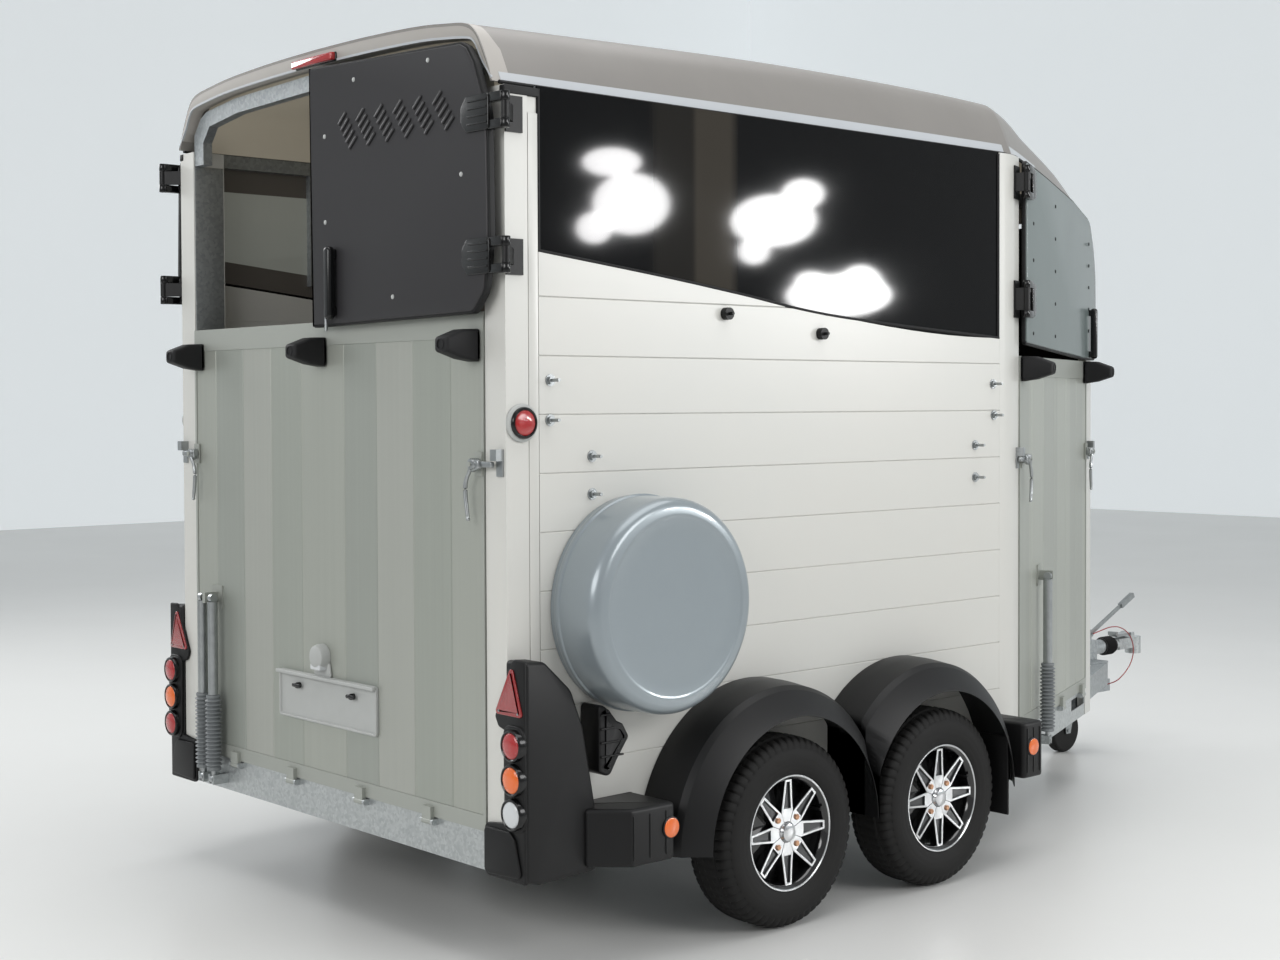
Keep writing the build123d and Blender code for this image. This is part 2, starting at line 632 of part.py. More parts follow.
# ---- frame behind the windows and under the roof -----------------------------------
HOOP_OUT = ((DOORWAY_HALF - SEAM, 2440), (DOORWAY_HALF - SEAM, 2545), (BODY_HALF - 138.5, 2598), (BODY_HALF - 180.5, 2618), (548, 2640), (0, 2654))
HOOP_IN = ((0, 2604), (540, 2590), (BODY_HALF - 200.5, 2566), (BODY_HALF - 156.5, 2515), (BODY_HALF - 156.5, 2440))
MULLIONS = ((505.0, 560.0), (900.0, 955.0), (1540.0, 1595.0))
with BuildPart() as rear_hoop:
    plate(REAR_FACE, HOOP_OUT + HOOP_IN, (-38, -4))
    mirror(about=Plane.YZ)
with BuildPart() as window_frame:
    rail_out = (-(WALL_T + 8), -(WINDOW_IN + SEAM))
    block(SIDE_FACE, (POST_D + SEAM, SIDE_LEN), (2452, WALL_TOP - 2), rail_out)
    for mullion in MULLIONS:
        block(SIDE_FACE, mullion, (2046, 2460), rail_out)
    block(TURNED_FACE, (10, NOSE_POST_T - 90), (2340, 2380), (-70, -30 - SEAM))
save(group(rear_hoop.part, both_sides(window_frame.part)), "upper_frame")

# ---- front walls -------------------------------------------------------------------
DOOR_SPAN = (504.0, 1146.0)
DOOR_UP = (436.0, 1752.0)
NOSE_SILL_Z = 1780.0
with BuildPart() as groom_wall:
    bounds = (CORNER_T + SEAM, DOOR_SPAN[0] - 4)
    block(TURNED_FACE, bounds, (FLOOR_Z + SEAM, NOSE_SILL_Z), (-WALL_T, 0))
    bounds = (DOOR_SPAN[1] + 4, NOSE_POST_T - SEAM)
    block(TURNED_FACE, bounds, (FLOOR_Z + SEAM, NOSE_SILL_Z), (-WALL_T, 0))
    bounds = (DOOR_SPAN[0] - 5, DOOR_SPAN[1] + 5)
    block(TURNED_FACE, bounds, (DOOR_UP[1] + 4, NOSE_SILL_Z), (-WALL_T, 0))
    block(TURNED_FACE, bounds, (FLOOR_Z + SEAM, DOOR_UP[0] - 4), (-WALL_T, 0))
    for height in (700, 1460):
        block(TURNED_FACE, (1156, 1172), (height - 30, height + 30), (-1, 18))
        knuckle = TURNED_FACE.offset(0)
        pin = Plane(origin=knuckle.from_local_coords(Vector(1156, height - 64, 12)), z_dir=(0, 0, 1))
        disc(pin, (0, 0), 5, (0, 128))
        disc(pin, (0, 0), 8, (34, 94))
with BuildPart() as nose_panel:
    nose_half = NOSE_HALF - NOSE_POST_IN - 1
    planks = 8
    pitch = (NOSE_SILL_Z - FLOOR_Z) / planks
    for plank in range(planks):
        low = FLOOR_Z + plank * pitch + SEAM
        block(MID_FACE, (NOSE_AT - 30, NOSE_AT - 4), (low, low + pitch - SEAM), (-nose_half, nose_half))
groom_side = mirror(groom_wall.part, about=Plane.YZ)
save(group(groom_side, nose_panel.part), "front_walls")

with BuildPart() as groom_window:
    outline = [(CORNER_T + SEAM, NOSE_SILL_Z + SEAM), (1214, NOSE_SILL_Z + SEAM), (1194, 2040)]
    outline += [(1158, 2240), (1126, 2376), (876, 2412), (CORNER_T + SEAM, 2478)]
    plate(TURNED_FACE, outline, (-14, -8))


def rake_section(inside):
    """The raked nose window's profile on the centre plane, moved in by a distance."""
    return [(CORNER_AT + along * TURN_COS - 8 - inside, height) for along, height in RAKE]


with BuildPart() as nose_window:
    front_edge = rake_section(0)
    back_edge = rake_section(6)
    front_edge[0] = (front_edge[0][0], NOSE_SILL_Z + SEAM)
    back_edge[0] = (back_edge[0][0], NOSE_SILL_Z + SEAM)
    plate(MID_FACE, front_edge + back_edge[::-1], (0, NOSE_HALF + 40))
    block(TURNED_FACE, (800, 1500), (1600, 2600), (-NOSE_POST_IN - 1, 300), Mode.SUBTRACT)
    mirror(about=Plane.YZ)
left_window = mirror(groom_window.part, about=Plane.YZ)
save(group(both_sides(side_window.part), left_window, nose_window.part), "windows")

with BuildPart() as groom_door:
    block(TURNED_FACE, DOOR_SPAN, DOOR_UP, (-WALL_T + 2, 0))
    for height in (700, 1460):
        for low, high in ((height - 64, height - 31), (height + 31, height + 64)):
            block(TURNED_FACE, (1116, 1144), (low, high), (-1, 17))
            block(TURNED_FACE, (1140, 1156), (low, high), (0.5, 17))
            pin = Plane(origin=TURNED_FACE.from_local_coords(Vector(1156, low, 12)), z_dir=(0, 0, 1))
            disc(pin, (0, 0), 8, (0, high - low))
            disc(pin, (0, 0), 5 + PIN_FIT, (-2, high - low + 2), Mode.SUBTRACT)
    block(TURNED_FACE, (530, 580), (1080, 1200), (-1, 8))
    block(TURNED_FACE, (545, 563), (1100, 1180), (7, 24))
save(mirror(groom_door.part, about=Plane.YZ), "groom_door")

# ---- roof --------------------------------------------------------------------------
# (distance from the rear, half width, height of the eaves, height of the crown)
ROOF = (
    (-20.0, BODY_HALF - 26.5, WALL_TOP, 2719.0),
    (1250.0, BODY_HALF - 26.5, WALL_TOP, 2760.0),
    (2330.0, BODY_HALF - 26.5, WALL_TOP, 2742.0),
    (2712.0, BODY_HALF - 182.5, 2478.0, 2660.0),
    (3112.0, BODY_HALF - 344.5, 2436.0, 2570.0),
    (3440.0, BODY_HALF - 476.5, 2376.0, 2456.0),
)
ROOF_SHELL = 9.0


def roof_section(station, shrink):
    """Half of the cambered cross-section and its mirror, closed along the eaves."""
    at, half, eaves, crown = station
    rise = crown - eaves
    half = half - shrink
    right = (
        (half, eaves - (1 if shrink else 0)),
        (half - 29.766, eaves + 0.22 * rise - shrink * 0.3),
        (half - 68, eaves + 0.42 * rise - shrink * 0.6),
        (half - 133, crown - 66 * rise / 219 - shrink),
        (half - 215, crown - 50 * rise / 219 - shrink),
        (0.6 * half, crown - 20 * rise / 219 - shrink),
        (0.3 * half, crown - 5 * rise / 219 - shrink),
    )
    left = tuple((-x, z) for x, z in reversed(right))
    with BuildSketch(Plane(origin=(0, REAR + at, 0), x_dir=(1, 0, 0), z_dir=(0, -1, 0))) as area:
        with BuildLine():
            Polyline(*right, (0, crown - shrink), *left, close=True)
        make_face()
    return area.sketch


def inner_station(index):
    """A roof station moved in from the rear and front ends."""
    at, half, eaves, crown = ROOF[index]
    if index == 0:
        at = at + 40
    if index == len(ROOF) - 1:
        at = at - ROOF_SHELL
    return (at, half, eaves, crown)


with BuildPart() as roof:
    loft([roof_section(station, 0) for station in ROOF], ruled=True)
    inner = [roof_section(inner_station(index), ROOF_SHELL) for index in range(len(ROOF))]
    loft(inner, ruled=True, mode=Mode.SUBTRACT)
    rim_in = (
        (0, 2400), (0, 2668), (548, 2656), (BODY_HALF - 144.5, 2632), (BODY_HALF - 114.5, 2622),
        (BODY_HALF - 80.5, 2569), (BODY_HALF - 31.5, 2506), (BODY_HALF - 31.5, 2400),
    )
    rim_left = tuple((-x, z) for x, z in reversed(rim_in[1:]))
    plate(REAR_FACE, rim_in[1:] + rim_left, (-25, 25), Mode.SUBTRACT)
save(roof.part, "roof")

# ---- mudguards ---------------------------------------------------------------------
GUARD_SPLIT = (AXLES[0] + AXLES[1]) / 2
GUARD_R = 462.0
GUARD_Z = 290.0
GUARD_T = 6.0


def guard_arch(at, start, end):
    """A moulded arch: a round top that rolls over into a sloping outer face."""
    section = Plane(origin=(0, REAR + at, GUARD_Z), x_dir=(1, 0, 0), z_dir=(0, -1, 0))
    near = BODY_HALF + SEAM
    with BuildSketch(section) as area:
        with BuildLine():
            Polyline(
                (near, GUARD_R),
                (BODY_HALF + 111.5, GUARD_R - 3),
                (BODY_HALF + 143.5, GUARD_R - 16),
                (BODY_HALF + 165.5, GUARD_R - 42),
                (GUARD_OUT, 366),
                (GUARD_OUT - GUARD_T, 362),
                (BODY_HALF + 159.5, GUARD_R - 44),
                (BODY_HALF + 137.5, GUARD_R - 21),
                (BODY_HALF + 109.5, GUARD_R - 3 - GUARD_T),
                (near, GUARD_R - GUARD_T),
                close=True,
            )
        make_face()
    with BuildPart() as arch:
        revolve(area.sketch, axis=Axis((0, REAR + at, GUARD_Z), (1, 0, 0)))
        block(SIDE_FACE, (start, end), (285, 900), (-10, 300), Mode.INTERSECT)
    return arch.part


with BuildPart() as flap:
    block(SIDE_FACE, (2010, 2018), (190, 460), (70, 200))
arches = [
    guard_arch(AXLES[0] - 5, 400, GUARD_SPLIT - SEAM),
    guard_arch(AXLES[1] - 25, GUARD_SPLIT + SEAM, 2100),
    flap.part,
]
save(group(*[both_sides(item) for item in arches]), "mudguards")

# ---- corner mouldings and skirts ---------------------------------------------------
HOUSING_OUT = 92.0
LAMP_X = BODY_HALF + 53.5
LAMP_Z = (668.0, 573.0, 478.0)
with BuildPart() as moulding:
    side_outline = (
        (-10, 900), (62, 895), (157, 808), (200, 700), (250, 440), (250, 285), (40, 277), (-10, 290),
    )
    plate(SIDE_FACE, side_outline, (SEAM, HOUSING_OUT))
    core = ((0, 888), (58, 886), (150, 802), (194, 698), (243, 436), (243, 292), (42, 284), (0, 296))
    plate(SIDE_FACE, core, (SEAM, HOUSING_OUT - 6), Mode.SUBTRACT)
    rear_outline = (
        (89.5, 905), (37.5, 905), (-44.5, 738), (-28.5, 710), (7.5, 700), (7.5, 445),
        (-94.5, 432), (-94.5, 284), (89.5, 284),
    )
    plate(REAR_FACE, [(BODY_HALF + x, z) for x, z in rear_outline], (SEAM, 12))


def skirt(start, end, low, top):
    """A shelf-shaped skirt, open underneath."""
    with BuildPart() as piece:
        block(SIDE_FACE, (start, end), (low, top), (SEAM, 190))
        block(SIDE_FACE, (start + 6, end - 6), (low - 1, top - 6), (SEAM, 184), Mode.SUBTRACT)
    return piece.part


skirts = [skirt(250 + SEAM, 458, 300, 466), skirt(2108, 2226, 296, 492)]
save(group(*[both_sides(item) for item in [moulding.part] + skirts]), "corner_mouldings")

with BuildPart() as lamp_set:
    for height in LAMP_Z:
        disc(REAR_FACE, (LAMP_X, height), 47, (12, 30))
with BuildPart() as post_lamp:
    disc(SIDE_FACE, (53, 1555), 54, (SEAM, 10))
    disc(SIDE_FACE, (53, 1555), 43, (9, 26))
with BuildPart() as brake_lamp:
    block(REAR_FACE, (-118, 118), (2672, 2692), (20, 44))
lamps = [both_sides(item.part) for item in (lamp_set, post_lamp)]
save(group(brake_lamp.part, *lamps), "lamps")

with BuildPart() as reflector_set:
    triangle = ((37.5, 892), (-40.5, 746), (85.5, 746))
    plate(REAR_FACE, [(BODY_HALF + x, z) for x, z in triangle], (12, 18))
    disc(SIDE_FACE, (440, 394), 30, (190, 197))
    disc(SIDE_FACE, (2166, 405), 30, (190, 197))
save(both_sides(reflector_set.part), "reflectors")

# ---- spare wheel -------------------------------------------------------------------
with BuildPart() as spare:
    centre = (SPARE_AT, SPARE_Z)
    disc(SIDE_FACE, centre, TYRE_R, (8, 178))
    fillet(spare.edges().filter_by(GeomType.CIRCLE), 30)
    disc(SIDE_FACE, centre, RIM_R, (0, 200), Mode.SUBTRACT)
    disc(SIDE_FACE, centre, RIM_R - SEAM, (30, 160))
    disc(SIDE_FACE, centre, RIM_R - 10, (42, 170), Mode.SUBTRACT)
with BuildPart() as carrier:
    block(SIDE_FACE, (SPARE_AT - 60, SPARE_AT + 60), (SPARE_Z - 60, SPARE_Z + 60), (0, 7))
    disc(SIDE_FACE, (SPARE_AT, SPARE_Z), 40, (6, 30 - SEAM))
save(group(spare.part, carrier.part), "spare_wheel")

COVER_T = 5.0
COVER_ROUND = 60.0
with BuildPart() as cover_core:
    disc(SIDE_FACE, (SPARE_AT, SPARE_Z), COVER_R - COVER_T, (-10, COVER_DEPTH - COVER_T))
    core_edge = cover_core.edges().filter_by(GeomType.CIRCLE).sort_by(Axis.X)[-1]
    fillet(core_edge, COVER_ROUND - COVER_T)
with BuildPart() as cover:
    disc(SIDE_FACE, (SPARE_AT, SPARE_Z), COVER_R, (SEAM, COVER_DEPTH))
    outer_edge = cover.edges().filter_by(GeomType.CIRCLE).sort_by(Axis.X)[-1]
    fillet(outer_edge, COVER_ROUND)
    add(cover_core.part, mode=Mode.SUBTRACT)
save(cover.part, "spare_wheel_cover")

# ---- fittings ----------------------------------------------------------------------
BOLTS = (
    (158, 1675), (157, 1562), (312, 1457), (312, 1348),
    (2190, 1672), (2195, 1561), (2088, 1456), (2089, 1343),
)
LATCH_Z = 1440.0
FRONT_LATCH_Z = 1400.0


def keeper(face, centre, level):
    """A keeper's plate on a post, and the jaw block on it, above the latch's arm."""
    with BuildPart() as backing:
        block(face, (centre - 14, centre + 14), (level - 34, level + 42), (0, 6))
    with BuildPart() as jaw:
        block(face, (centre - 14, centre + 14), (level + 10, level + 42), (6, 28))
    return [backing.part, jaw.part]


with BuildPart() as bolt_set:
    for spot in BOLTS:
        disc(SIDE_FACE, spot, 17, (0, 3))
        disc(SIDE_FACE, spot, 11, (2, 11))
        disc(SIDE_FACE, spot, 5, (10, 42))
keepers = []
for side in (-1, 1):
    keepers += keeper(REAR_FACE, side * (BODY_HALF - 23.5), LATCH_Z)
keepers += keeper(TURNED_FACE, 74, FRONT_LATCH_Z)
keepers += keeper(TURNED_FACE, 1250, FRONT_LATCH_Z)
save(group(*keepers, both_sides(bolt_set.part)), "bolts_and_keepers")

REAR_HINGE_Z = ((1966.0, 2066.0), (2360.0, 2460.0))
FRONT_HINGE_Z = ((1912.0, 2046.0), (2340.0, 2460.0))
FRONT_AXIS = (40.0, 45.0)
KNUCKLE_R = 12.0
with BuildPart() as rear_bracket:
    for low, high in REAR_HINGE_Z:
        block(SIDE_FACE, (1, 60), (low, high), (0, 6))
        arm = (
            (BODY_HALF + 1, REAR + 8), (BODY_HALF + 1, REAR + 32),
            (DOOR_AXIS_X + 6, REAR - DOOR_AXIS_OUT + 6), (DOOR_AXIS_X - 6, REAR - DOOR_AXIS_OUT - 6),
        )
        plate(Plane.XY, arm, (low + 27, high - 27))
        pin = Plane(origin=(DOOR_AXIS_X, REAR - DOOR_AXIS_OUT, low))
        disc(pin, (0, 0), KNUCKLE_R, (27, high - low - 27))
        disc(pin, (0, 0), 6, (2, high - low - 2))
with BuildPart() as front_bracket:
    for low, high in FRONT_HINGE_Z:
        block(TURNED_FACE, (28, 96), (low, high), (0, 5))
        block(TURNED_FACE, (32, 48), (low + 27, high - 27), (4, FRONT_AXIS[1]))
        origin = TURNED_FACE.from_local_coords(Vector(FRONT_AXIS[0], low, FRONT_AXIS[1]))
        pin = Plane(origin=origin, z_dir=(0, 0, 1))
        disc(pin, (0, 0), KNUCKLE_R, (27, high - low - 27))
        disc(pin, (0, 0), 6, (2, high - low - 2))
with BuildPart() as retainer_rear:
    disc(SIDE_FACE, (852, 1882), 19, (0, 22))
    disc(SIDE_FACE, (852, 1882), 5, (21, 38))
with BuildPart() as retainer_front:
    disc(SIDE_FACE, (1283, 1830), 19, (0, 22))
    disc(SIDE_FACE, (1283, 1830), 5, (21, 38))
bracket_set = [both_sides(rear_bracket.part), both_sides(retainer_rear.part)]
bracket_set += [front_bracket.part, retainer_front.part]
save(group(*bracket_set), "door_brackets")

with BuildPart() as chock:
    outline = ((262, 560), (262, 760), (300, 735), (376, 650), (300, 540))
    plate(SIDE_FACE, outline, (SEAM, 88))
save(both_sides(chock.part), "wheel_chocks")

# ---- interior ----------------------------------------------------------------------
POLE_AT = 2300.0
POLE_R = 24.0
with BuildPart() as stall_frame:
    disc(PLAN, (0, POLE_AT), POLE_R, (FLOOR_Z + FLOOR_T, 2380))
    bar_span = BODY_HALF - 30 - 80 * TURN_SIN - 42
    disc(MID_FACE, (POLE_AT + 52, 1500), 20, (-bar_span, bar_span))
    block(PLAN, (-30, 30), (POLE_AT - 10, POLE_AT + 70), (1470, 1530))
    block(MID_FACE, (POLE_AT - 40, POLE_AT + 60), (2380, 2440), (-bar_span + 20, bar_span - 20))
save(stall_frame.part, "stall_frame")

with BuildPart() as partition:
    block(MID_FACE, (260, POLE_AT - 50), (900, 1900), (-18, 18))
    for height in (980, 1800):
        block(MID_FACE, (POLE_AT - 60, POLE_AT), (height, height + 60), (-14, 14))
        ring = PLAN.offset(height)
        disc(ring, (0, POLE_AT), POLE_R + 9, (0, 60))
        disc(ring, (0, POLE_AT), POLE_R + PIN_FIT, (-2, 62), Mode.SUBTRACT)
save(partition.part, "stall_partition")

# ---- ramps -------------------------------------------------------------------------
REAR_JOINTS = (-686.0, -506.0, -324.0, -137.0, 115.0, 293.0, 485.0, 673.0)
RAMP_X = DOORWAY_HALF - RAMP_GAP
TRIM = 12.0


def ramp_frame(face, span, top, stations, struts):
    """Rails, side trims and hinge lugs, with the struts' upper pins."""
    low_rail = (RAMP_LOW, RAMP_LOW + RAIL_LOW)
    top_rail = (top - RAIL_TOP, top)
    block(face, span, low_rail, (-RAMP_IN, RAMP_OUT))
    block(face, span, top_rail, (-RAMP_IN, RAMP_OUT))
    inner = (span[0] + TRIM, span[1] - TRIM)
    for rail in (low_rail, top_rail):
        hole = (rail[0] + 4, rail[1] - 4)
        block(face, inner, hole, (-RAMP_IN + 4, RAMP_OUT - 4), Mode.SUBTRACT)
    for edge in ((span[0], span[0] + TRIM), (span[1] - TRIM, span[1])):
        block(face, edge, (RAMP_LOW, top), (-RAMP_IN, RAMP_OUT))
    for at in stations:
        half = EAR_IN - 0.5
        block(face, (at - half, at + half), (HINGE_Z, RAMP_LOW + 30), (RAMP_OUT - 1, RAMP_OUT + 13))
        pin = across_plane(face, at, HINGE_Z, HINGE_OUT)
        disc(pin, (0, 0), EAR_R, (-half, half))
        disc(pin, (0, 0), PIN_R + PIN_FIT, (-half - 1, half + 1), Mode.SUBTRACT)
    gap = STRUT_EYE_W / 2 + 1
    up = (STRUT_TOP_Z - 18, STRUT_TOP_Z + 18)
    if len(struts) == 2:
        middle = (struts[0] + struts[1]) / 2
        block(face, (middle - 9, middle + 9), up, (RAMP_OUT, STRUT_OUT + 14))
        pin = across_plane(face, middle, STRUT_TOP_Z, STRUT_OUT)
        reach = (struts[1] - struts[0]) / 2 - gap
        disc(pin, (0, 0), STRUT_PIN_R, (-reach, reach))
        plate_span = (middle - 34, middle + 34)
    else:
        edge = struts[0] + gap
        block(face, (edge + 8, edge + 22), up, (RAMP_OUT, STRUT_OUT + 14))
        pin = across_plane(face, edge, STRUT_TOP_Z, STRUT_OUT)
        disc(pin, (0, 0), STRUT_PIN_R, (0, 10))
        plate_span = (edge - 12, edge + 42)
    block(face, plate_span, (STRUT_TOP_Z - 40, STRUT_TOP_Z + 40), (RAMP_OUT - 2, RAMP_OUT + 3))


def ramp_planks(face, span, top, joints):
    """Upright hollow planks between the rails."""
    edges = [span[0] + TRIM] + list(joints) + [span[1] - TRIM]
    up = (RAMP_LOW + RAIL_LOW + SEAM, top - RAIL_TOP - SEAM)
    groove = 2.0
    for near, far in zip(edges, edges[1:]):
        base = face.offset(0)
        section = Plane(origin=base.from_local_coords(Vector(0, up[0], 0)), x_dir=face.x_dir, z_dir=(0, 0, 1))
        out = RAMP_OUT - 2
        left = near + SEAM
        right = far - SEAM
        # local y of this section plane points inwards, away from the face
        outline = (
            (left, RAMP_IN), (left, -out + groove), (left + groove, -out),
            (right - groove, -out), (right, -out + groove), (right, RAMP_IN),
        )
        plate(section, outline, (0, up[1] - up[0]))
        core = (left + SKIN, right - SKIN)
        block(section, core, (-out + SKIN, RAMP_IN - SKIN), (0, up[1] - up[0]), Mode.SUBTRACT)


BUFFER_W = 62.0


def buffers(face, places, low):
    """Rubber buffers that take the ramp's weight on the ground."""
    for at in places:
        side = across_plane(face, at, low, RAMP_OUT)
        outline = ((0, 0), (0, -93), (55, -91), (BUFFER_OUT - RAMP_OUT, -68), (BUFFER_OUT - RAMP_OUT, -28), (55, -8))
        plate(side, outline, (-BUFFER_W / 2, BUFFER_W / 2))


with BuildPart() as rear_frame:
    ramp_frame(REAR_FACE, (-RAMP_X, RAMP_X), RAMP_TOP, REAR_STATIONS, REAR_STRUTS)
with BuildPart() as rear_planks:
    ramp_planks(REAR_FACE, (-RAMP_X, RAMP_X), RAMP_TOP, REAR_JOINTS)
save(rear_planks.part, "rear_ramp_planks")
with BuildPart() as rear_buffers:
    buffers(REAR_FACE, (-792, -8, 790), RAMP_TOP - 141)
save(rear_buffers.part, "rear_ramp_buffers")

with BuildPart() as plate_holder:
    block(REAR_FACE, (-270, 295), (597, 750), (RAMP_OUT - 2, RAMP_OUT + 9))
    block(REAR_FACE, (-262, 287), (604, 742), (RAMP_OUT + 4, RAMP_OUT + 10), Mode.SUBTRACT)
    block(REAR_FACE, (-270, 295), (738, 750), (RAMP_OUT + 8, RAMP_OUT + 22))
    block(REAR_FACE, (-60, 40), (750, 792), (RAMP_OUT - 2, RAMP_OUT + 6))
    disc(REAR_FACE, (-12, 812), 40, (RAMP_OUT - 2, RAMP_OUT + 38))
    for at in (-150, 165):
        disc(REAR_FACE, (at, 706), 10, (RAMP_OUT + 3, RAMP_OUT + 20))
        block(REAR_FACE, (at - 24, at + 24), (700, 712), (RAMP_OUT + 12, RAMP_OUT + 20))
save(plate_holder.part, "number_plate_holder")

FRONT_SPAN = (CORNER_T + RAMP_GAP, NOSE_POST_T - RAMP_GAP)
front_pitch = (FRONT_SPAN[1] - FRONT_SPAN[0]) / 6
FRONT_JOINTS = [FRONT_SPAN[0] + front_pitch * step for step in range(1, 6)]
with BuildPart() as front_frame:
    ramp_frame(TURNED_FACE, FRONT_SPAN, FRONT_RAMP_TOP, FRONT_STATIONS, FRONT_STRUTS)
with BuildPart() as front_planks:
    ramp_planks(TURNED_FACE, FRONT_SPAN, FRONT_RAMP_TOP, FRONT_JOINTS)
save(front_planks.part, "front_ramp_planks")
with BuildPart() as front_buffers:
    buffers(TURNED_FACE, (138, 1172), FRONT_RAMP_TOP - 93)
save(front_buffers.part, "front_ramp_buffers")


# ---- ramp latches ------------------------------------------------------------------
def latch(face, pivot, level, toward):
    """A cast lever: hub on a pin, arm under the keeper's jaw, handle hanging down."""
    with BuildPart() as lever_part:
        disc(face, (pivot, level), 17, (RAMP_OUT + 7, RAMP_OUT + 37))
        arm_ends = sorted((pivot, pivot + toward * 78))
        block(face, arm_ends, (level - 9, level + 8), (12, 26))
        grip = (
            (pivot - 12, level), (pivot + 12, level), (pivot + 9, level - 90),
            (pivot + 5, level - 152), (pivot - 5, level - 152), (pivot - 11, level - 90),
        )
        plate(face, grip, (32, 43))
        disc(face, (pivot, level), 7 + PIN_FIT, (0, 60), Mode.SUBTRACT)
    return lever_part.part


def latch_seat(face, pivot, level):
    """The latch's plate and pin on the ramp."""
    block(face, (pivot - 16, pivot + 16), (level - 34, level + 34), (RAMP_OUT, RAMP_OUT + 6))
    disc(face, (pivot, level), 7, (RAMP_OUT + 5, RAMP_OUT + 40))


REAR_PIVOT = RAMP_X - 18.0
FRONT_PIVOTS = (FRONT_SPAN[0] + 24, FRONT_SPAN[1] - 24)
save(latch(REAR_FACE, REAR_PIVOT, LATCH_Z, 1), "rear_latch_right")
save(latch(REAR_FACE, -REAR_PIVOT, LATCH_Z, -1), "rear_latch_left")
save(latch(TURNED_FACE, FRONT_PIVOTS[0], FRONT_LATCH_Z, -1), "front_latch_rearward")
save(latch(TURNED_FACE, FRONT_PIVOTS[1], FRONT_LATCH_Z, 1), "front_latch_forward")
with BuildPart() as rear_seats:
    for side in (-1, 1):
        latch_seat(REAR_FACE, side * REAR_PIVOT, LATCH_Z)
save(group(rear_frame.part, rear_seats.part), "rear_ramp_frame")
with BuildPart() as front_seats:
    for pivot in FRONT_PIVOTS:
        latch_seat(TURNED_FACE, pivot, FRONT_LATCH_Z)
save(group(front_frame.part, front_seats.part), "front_ramp_frame")


# ---- ramp struts -------------------------------------------------------------------
STRUT_ROD_R = 9.0
STRUT_TUBE_R = 17.0
TUBE_LOW = 620.0
BOOT_UP = (362.0, TUBE_LOW - 1)


def strut_rods(face, places):
    """Lower rods, each with an eye on the sill's pin."""
    for at in places:
        eye = across_plane(face, at, STRUT_FOOT_Z, STRUT_OUT)
        half = STRUT_EYE_W / 2
        disc(eye, (0, 0), STRUT_EYE_R, (-half, half))
        base = Plane(origin=face.from_local_coords(Vector(at, STRUT_FOOT_Z, STRUT_OUT)), z_dir=(0, 0, 1))
        disc(base, (0, 0), STRUT_ROD_R, (10, TUBE_LOW + 140 - STRUT_FOOT_Z))
        disc(eye, (0, 0), STRUT_PIN_R + PIN_FIT, (-half - 1, half + 1), Mode.SUBTRACT)


def strut_tubes(face, places):
    """Upper tubes that slide on the rods, each with an eye at its top."""
    for at in places:
        foot = face.from_local_coords(Vector(at, TUBE_LOW, STRUT_OUT))
        base = Plane(origin=foot, z_dir=(0, 0, 1))
        disc(base, (0, 0), STRUT_TUBE_R, (0, STRUT_TOP_Z - 12 - TUBE_LOW))
        half = STRUT_EYE_W / 2
        eye = across_plane(face, at, STRUT_TOP_Z, STRUT_OUT)
        disc(eye, (0, 0), STRUT_EYE_R, (-half, half))
        disc(base, (0, 0), STRUT_ROD_R + 0.3, (0, 270), Mode.SUBTRACT)


def strut_boots(face, places):
    """Bellows round the rods."""
    for at in places:
        foot = face.from_local_coords(Vector(at, BOOT_UP[0], STRUT_OUT))
        base = Plane(origin=foot, z_dir=(0, 0, 1))
        disc(base, (0, 0), 28, (0, BOOT_UP[1] - BOOT_UP[0]))
        disc(base, (0, 0), STRUT_ROD_R + 0.5, (0, BOOT_UP[1] - BOOT_UP[0]), Mode.SUBTRACT)


for end, face, places in (("rear", REAR_FACE, REAR_STRUTS), ("front", TURNED_FACE, FRONT_STRUTS)):
    with BuildPart() as rods:
        strut_rods(face, places)
    save(rods.part, f"{end}_strut_rods")
    with BuildPart() as tubes:
        strut_tubes(face, places)
    save(tubes.part, f"{end}_strut_tubes")
    with BuildPart() as boots:
        strut_boots(face, places)
    save(boots.part, f"{end}_strut_boots")

# ---- top doors ---------------------------------------------------------------------
DOOR_EDGE = BODY_HALF - 3.5


def hinge_arms(axis_point, bands, face, reach, out):
    """The door's half of its hinges: a strap with a knuckle above and below the bracket."""
    for low, high in bands:
        across = sorted((reach[0], reach[1]))
        for knuckle in ((low, low + 26), (high - 26, high)):
            block(face, across, knuckle, out)
            origin = face.from_local_coords(Vector(axis_point[0], knuckle[0], axis_point[1]))
            pin = Plane(origin=origin, z_dir=(0, 0, 1))
            disc(pin, (0, 0), KNUCKLE_R, (0, 26))
            disc(pin, (0, 0), 6 + PIN_FIT, (-1, 27), Mode.SUBTRACT)


